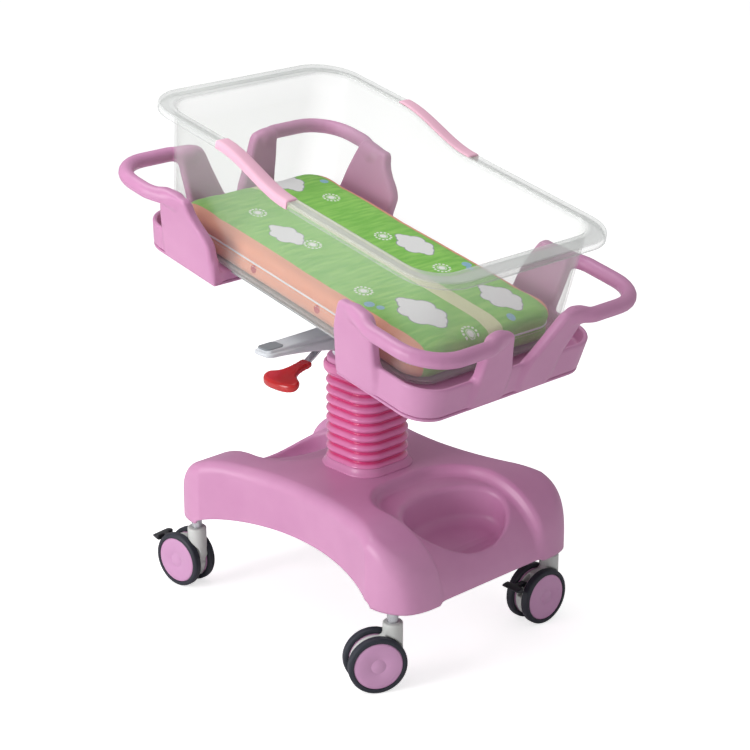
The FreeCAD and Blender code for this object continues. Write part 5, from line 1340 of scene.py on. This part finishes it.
def arm_field(x, y, z):
    """The arm, without its hollow."""
    out = np.clip(y + GRIP_TIP, 0, GRIP_TIP - ARM_ROOT)
    under = TILT_Z + ARM_UNDER - UNDER_SLOPE * out - UNDER_CURVE * out ** 2
    half = ARM_HALF + ROOT_WIDER * out / (GRIP_TIP - ARM_ROOT)
    away = np.abs(x - MAST_X)
    tip = -GRIP_TIP - y
    wide = both(both(away - half, tip, 13.0), y + ARM_ROOT - 8.0, 1.0)
    ledge = TILT_Z + ARM_TOP - LEDGE_DROP - LEDGE_FALL * out / (GRIP_TIP - ARM_ROOT)
    lower = both(wide, np.maximum(z - ledge, under - z), 3.5)
    narrowing = LID_NARROWER - LID_WIDENS * out / (GRIP_TIP - ARM_ROOT)
    lid = both(wide + narrowing, np.maximum(z - TILT_Z - ARM_TOP, under + 3.0 - z), 2.5)
    return either(lower, lid, 1.0)


def head_field(x, y, z):
    """The whole casting."""
    away, side = np.abs(x - MAST_X), np.abs(y)
    plate = both(square_plan(x, y, PLATE_HALF, PLATE_CORNER), between(z, HEAD_Z, PLATE_TOP_Z), 3.0)
    cheek_shape = np.where(z > TILT_Z, np.hypot(x - MAST_X, z - TILT_Z) - CHEEK_R, away - CHEEK_R)
    cheeks = both(np.maximum(cheek_shape, HEAD_Z + 2.0 - z), between(side, CHEEK_IN, CHEEK_OUT), 3.0)
    body = either(plate, cheeks, 5.0)
    body = either(body, arm_field(x, y, z), 4.0)
    hollow = both(both(away - HOLLOW_HALF, between(y, -HOLLOW_TIP, -ARM_ROOT), 6.0), z - TILT_Z - 8.0, 3.0)
    body = carve(body, np.maximum(hollow, PLATE_TOP_Z - z), 1.5)
    slot = np.maximum(away - SLOT_HALF, between(y, -SLOT_TIP, 0.0))
    slot = np.maximum(slot, between(z, PLATE_TOP_Z, SLOT_TOP_Z))
    body = carve(body, slot, 0.5)
    body = carve(body, np.hypot(x - MAST_X, y) - COLUMN_BORE_R, 0.3)
    pin_bore = np.maximum(np.hypot(x - MAST_X, z - TILT_Z) - TILT_PIN_R, side - CHEEK_OUT - 2.0)
    return carve(body, pin_bore, 0.3)


head = moulded("tilt_head_casting", head_field, (-64, -246, 462), (48, 56, 542), 2.0)
dress(head, "mast", "head_grey", HEAD_GREY, "tilt_head")


def grip_pad_field(x, y, z):
    """Thin soft pad let into the tip of the arm."""
    plan = rounded_plan(x - MAST_X, y + PAD_Y, PAD_HALF_X, PAD_HALF_Y, PAD_CORNER)
    return both(plan, between(z, TILT_Z + PAD_LOW, TILT_Z + PAD_TOP), 1.0)


grip_pad = moulded("grip_pad_soft", grip_pad_field, (-32, -240, 526), (16, -192, 537), 1.2)
dress(grip_pad, "mast", "pad_grey", PAD_GREY, "grip_pad")

# %% [markdown]
# ## The release lever
# A bent flat steel bar reaches out from under the arm and carries a glossy red paddle with a fish
# tail. The bar is its side view with rounded bends. The paddle is its outline from above, cut to a
# curve, with a thickness that swells from the neck to the lip.

# %% Lever bar and paddle
BAR_MIDDLE = rounded_path([(8.0, 488.5, 0.0), (-62.0, 488.5, 0.0), (-108.0, 504.0, 0.0),
                           (-152.0, 476.0, 0.0)],
                          [20.0, 10.0])
PADDLE_HALF = [(0.0, 136.0), (10.0, 136.0), (13.0, 141.0), (11.0, 153.0), (13.0, 168.0),
               (20.0, 179.0), (30.0, 184.0),
               (38.0, 187.0), (41.0, 196.0), (37.0, 204.0), (25.0, 210.5), (10.0, 213.5), (0.0, 213.5)]


def lever_bar_field(x, y, z):
    """Flat bar with its eye."""
    line = path_distance([np.array(p) for p in BAR_MIDDLE], y, z, 0 * y)
    away = np.abs(x - MAST_X)
    bar = both(line - 2.5, away - 7.0, 0.8)
    eye = both(np.hypot(y + 62.0, z - 491.0) - 6.0, away - 7.0, 0.8)
    return carve(either(bar, eye, 1.5), np.hypot(y + 62.0, z - 491.0) - 3.1, 0.2)


def paddle_field(x, y, z):
    """Paddle: hollow top, fat lip, ridged neck."""
    out = -y
    share = np.clip((out - 138.0) / 74.0, 0, 1)
    middle = 483.0 - 21.0 * share + 2.5 * np.sin(math.pi * share) - 0.0025 * (x - MAST_X) ** 2 * share
    half = 5.6 + 2.2 * share ** 1.5
    dip = 1.6 * np.exp(-((share - 0.62) / 0.22) ** 2)
    ridges = 0.5 * np.cos((out - 138.0) * 0.9) * (out < 162.0)
    points = PADDLE_HALF + [(-a, b) for a, b in PADDLE_HALF[::-1][1:-1]]
    plan = outline(softened(points, 2), x - MAST_X, out) - ridges
    block = both(plan, np.maximum(z - middle - half + dip, middle - half - z), 5.0)
    from_bar = path_distance([np.array(p) for p in BAR_MIDDLE], y, z, 0 * y)
    socket = both(from_bar - 2.6, np.abs(x - MAST_X) - 7.1, 0.5)
    return carve(block, socket, 0.3)


bar = moulded("lever_bar_bent", lever_bar_field, (-18, -158, 468), (2, 12, 512), 1.4)
dress(bar, "release_lever", "bright_steel", BRIGHT, "lever_bar")
paddle = moulded("lever_paddle_moulding", paddle_field, (-62, -218, 448), (46, -130, 496), 1.6)
dress(paddle, "release_lever", "lever_red", LEVER_RED, "lever_paddle")

# %% [markdown]
# ## Screw heads
# Twelve pan-head screws hold the collar and the trays. One small head with a cross recess is drawn
# once, and Geometry Nodes put a copy on every point of a mesh, turned by its own seeded angle and
# tipped with the deck. The heads are real mesh at the end, so that they export.

# %% Screw tree
HEAD_SIDES, DOME_TAPER, RECESS_WIDTH, CROSS_UP = 20, 0.72, 0.0009, 2.2
screw_tree, screw_in, screw_out = new_group(
    "screw_heads",
    [("Geometry", "Geometry", None), ("Radius", "Float", 0.0045), ("Rise", "Float", 0.0028),
     ("Recess", "Float", 0.0024), ("Tilt", "Vector", (0.0, 0.0, 0.0)), ("Seed", "Int", 3),
     ("Material", "Material", None)], [("Geometry", "Geometry")], "GeometryNodeTree")
tree = screw_tree
radius, rise, recess = numbers(screw_in, "Radius", "Rise", "Recess")
low_rise, arm_length = rise * 0.5, recess * 2.0
pan = add(tree, "GeometryNodeMeshCylinder", Vertices=HEAD_SIDES, Radius=radius, Depth=low_rise)
dome = add(tree, "GeometryNodeMeshCone", Vertices=HEAD_SIDES, Radius_Bottom=radius,
           Radius_Top=radius * DOME_TAPER, Depth=low_rise)
arm_long = add(tree, "ShaderNodeCombineXYZ", X=arm_length, Y=RECESS_WIDTH, Z=rise)
arm_wide = add(tree, "ShaderNodeCombineXYZ", X=RECESS_WIDTH, Y=arm_length, Z=rise)
arms = add(tree, "GeometryNodeJoinGeometry")
for size in (arm_long, arm_wide):
    block = add(tree, "GeometryNodeMeshCube", Size=size.outputs["Vector"])
    tree.links.new(block.outputs["Mesh"], arms.inputs["Geometry"])
dome_up = add(tree, "ShaderNodeCombineXYZ", Z=low_rise * 0.5)
top_at = add(tree, "GeometryNodeTransform", Geometry=dome.outputs["Mesh"], Translation=dome_up.outputs[0])
cross_up = add(tree, "ShaderNodeCombineXYZ", Z=low_rise * CROSS_UP)
cross_at = add(tree, "GeometryNodeTransform", Geometry=arms.outputs["Geometry"],
               Translation=cross_up.outputs[0])
cut_top = add(tree, "GeometryNodeMeshBoolean", {"operation": "DIFFERENCE"}, i0=top_at.outputs["Geometry"],
              i1=cross_at.outputs["Geometry"])
whole = add(tree, "GeometryNodeJoinGeometry")
for part in (cut_top, pan):
    tree.links.new(part.outputs["Mesh"], whole.inputs["Geometry"])
swing = add(tree, "FunctionNodeRandomValue", {"data_type": "FLOAT"}, Seed=screw_in.outputs["Seed"])
own_turn = add(tree, "ShaderNodeCombineXYZ", Z=numbers(swing, 1)[0] * (2 * math.pi))
tipped = add(tree, "FunctionNodeRotateEuler", Rotation=own_turn.outputs[0],
             Rotate_By=screw_in.outputs["Tilt"])
copies = add(tree, "GeometryNodeInstanceOnPoints", Points=screw_in.outputs["Geometry"],
             Instance=whole.outputs["Geometry"], Rotation=tipped.outputs[0])
finish_off(tree, screw_in, screw_out, copies.outputs["Instances"], smooth=False)


# %% Make the screw heads
def screws(name, body, places, matrix, tilt, material):
    """Heads on a set of places, facing along the tilted Z."""
    thing = piece(name, places, [], matrix)
    grow(thing, screw_tree, Tilt=tilt, Material=material)
    print(name, "faces:", len(thing.data.polygons))
    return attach(thing, body)


COLLAR_SCREW_OUT, COLLAR_SCREW_UP = 45.0, 13.3
TRAY_SCREW_Y, TRAY_SCREW_START, TRAY_SCREW_END, TRAY_SCREW_DROP = 95.0, 20.0, 58.0, 1.4
collar_places = [(MAST_X + COLLAR_SCREW_OUT * sx, COLLAR_SCREW_OUT * sy, BASE_TOP_Z + COLLAR_SCREW_UP)
                 for sx in (-1, 1) for sy in (-1, 1)]
screws("collar_screw_heads", "base", collar_places, Matrix.Identity(4), (0.0, 0.0, 0.0), BRIGHT)
tray_places = []
for end, direction in ((FOOT, 1), (HEAD, -1)):
    for along in (end.start + TRAY_SCREW_START, end.reach - TRAY_SCREW_END):
        tray_places += [(direction * along, TRAY_SCREW_Y * sy, end.low - TRAY_SCREW_DROP) for sy in (-1, 1)]
screws("tray_screw_heads", "bed", tray_places, DECK, (math.pi, math.radians(DECK_ANGLE), 0.0), BRIGHT)

# %% [markdown]
# ## Finishes on the plain metal nodes
# Tubes, frame, pins and washers already have their right shape in the CAD model, so they stay as
# they are and only take a better finish.

# %% Finish the nodes that stay
PLAIN_NODES = {
    "chassis": STEEL_PAINT, "caster_stems": BRIGHT, "collar_screws": BRIGHT, "tray_screws": BRIGHT,
    "outer_column": STEEL_PAINT, "inner_column": BRIGHT, "guide_bush": BUSH_WHITE,
    "gas_spring_body": STEEL_PAINT,
    "gas_spring_rod": CHROME, "valve_pin": CHROME, "lever_pin": BRIGHT, "tilt_pin": BRIGHT,
    "friction_washers": BRASS, "deck_frame": STEEL_PAINT, "deck_panel": PANEL_GREY,
}
for name in HEADINGS:
    PLAIN_NODES["caster_axle_" + name] = BRIGHT
for name in BRAKED:
    PLAIN_NODES["brake_pin_" + name] = BRIGHT
for name, material in PLAIN_NODES.items():
    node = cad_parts[name]
    for spot in node.material_slots:
        spot.material = material
print("plain nodes finished:", len(PLAIN_NODES))

# %% [markdown]
# ## Floor, light and camera
# A pale floor that turns white where the camera sees it keeps a soft shadow under the casters.
# One large soft lamp stands on the lever side and one lies overhead. A third, weak one stands at the
# foot end, which stays much darker. The world fills the shadows.


# %% Floor
FLOOR_GLOW, FLOOR_SIZE, WORLD_FILL = 0.64, 30.0, 0.4


def seen_straight(tree):
    """1 for rays from the camera, also those that went through something clear."""
    path = add(tree, "ShaderNodeLightPath")
    camera_ray, clear_ray = numbers(path, "Is Camera Ray", "Is Transmission Ray")
    return camera_ray.do("MAXIMUM", clear_ray)


def stage_finish():
    """Pale floor whose lit part reads as a white background, but keeps the shadow."""
    material, tree, shader = new_material("stage_floor")
    feed(tree, shader, Base_Color=shade(246, 246, 246), Roughness=0.9, Emission_Color=(1.0, 1.0, 1.0, 1.0),
         Emission_Strength=seen_straight(tree) * FLOOR_GLOW)
    return material


bpy.ops.mesh.primitive_plane_add(size=FLOOR_SIZE)
floor = bpy.context.object
floor.name = "stage_floor"
floor.data.materials.append(stage_finish())
floor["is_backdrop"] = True

# %% World and lamps
world = bpy.data.worlds.new("studio")
bpy.context.scene.world = world
world.use_nodes = True
tree = world.node_tree
background = tree.nodes["Background"]
strength = add(tree, "ShaderNodeMix", {"data_type": "FLOAT"}, i0=seen_straight(tree), i2=WORLD_FILL, i3=1.0)
feed(tree, background, Color=(1.0, 1.0, 1.0, 1.0), Strength=strength.outputs[0])


def soft_lamp(name, place, aim, size, power):
    """Area lamp turned towards a point."""
    lamp = bpy.data.lights.new(name, "AREA")
    lamp.shape, lamp.size, lamp.energy = "DISK", size, power
    thing = bpy.data.objects.new(name, lamp)
    thing.location = place
    thing.rotation_euler = (Vector(aim) - Vector(place)).to_track_quat("-Z", "Y").to_euler()
    bpy.context.scene.collection.objects.link(thing)
    return thing


MIDDLE = (0.0, 0.0, 0.4)
soft_lamp("front_left", (-0.5, -2.9, 1.2), MIDDLE, 1.6, 49.0)
soft_lamp("front_right", (2.9, -0.4, 1.5), MIDDLE, 1.6, 3.0)
soft_lamp("overhead", (-0.8, -0.4, 2.8), MIDDLE, 1.6, 27.0)

# %% Camera
CAMERA_AT, CAMERA_AIM, CAMERA_LENS = (2.442, -2.2896, 1.6758), (0.00563, 0.00568, 0.42857), 99.47
camera_data = bpy.data.cameras.new("camera")
camera_data.lens, camera_data.sensor_width = CAMERA_LENS, 36.0
camera = bpy.data.objects.new("camera", camera_data)
camera.location = CAMERA_AT
camera.rotation_euler = (Vector(CAMERA_AIM) - Vector(CAMERA_AT)).to_track_quat("-Z", "Y").to_euler()
bpy.context.scene.collection.objects.link(camera)
bpy.context.scene.camera = camera
bpy.context.scene.view_settings.view_transform = "Standard"

# %% Sizes and finish
visual_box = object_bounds()
for low_or_high in (0, 1):
    corners = zip(visual_box[low_or_high], cad_box[low_or_high])
    print("box:", [round(a * 1000 - b * 1000, 1) for a, b in corners])
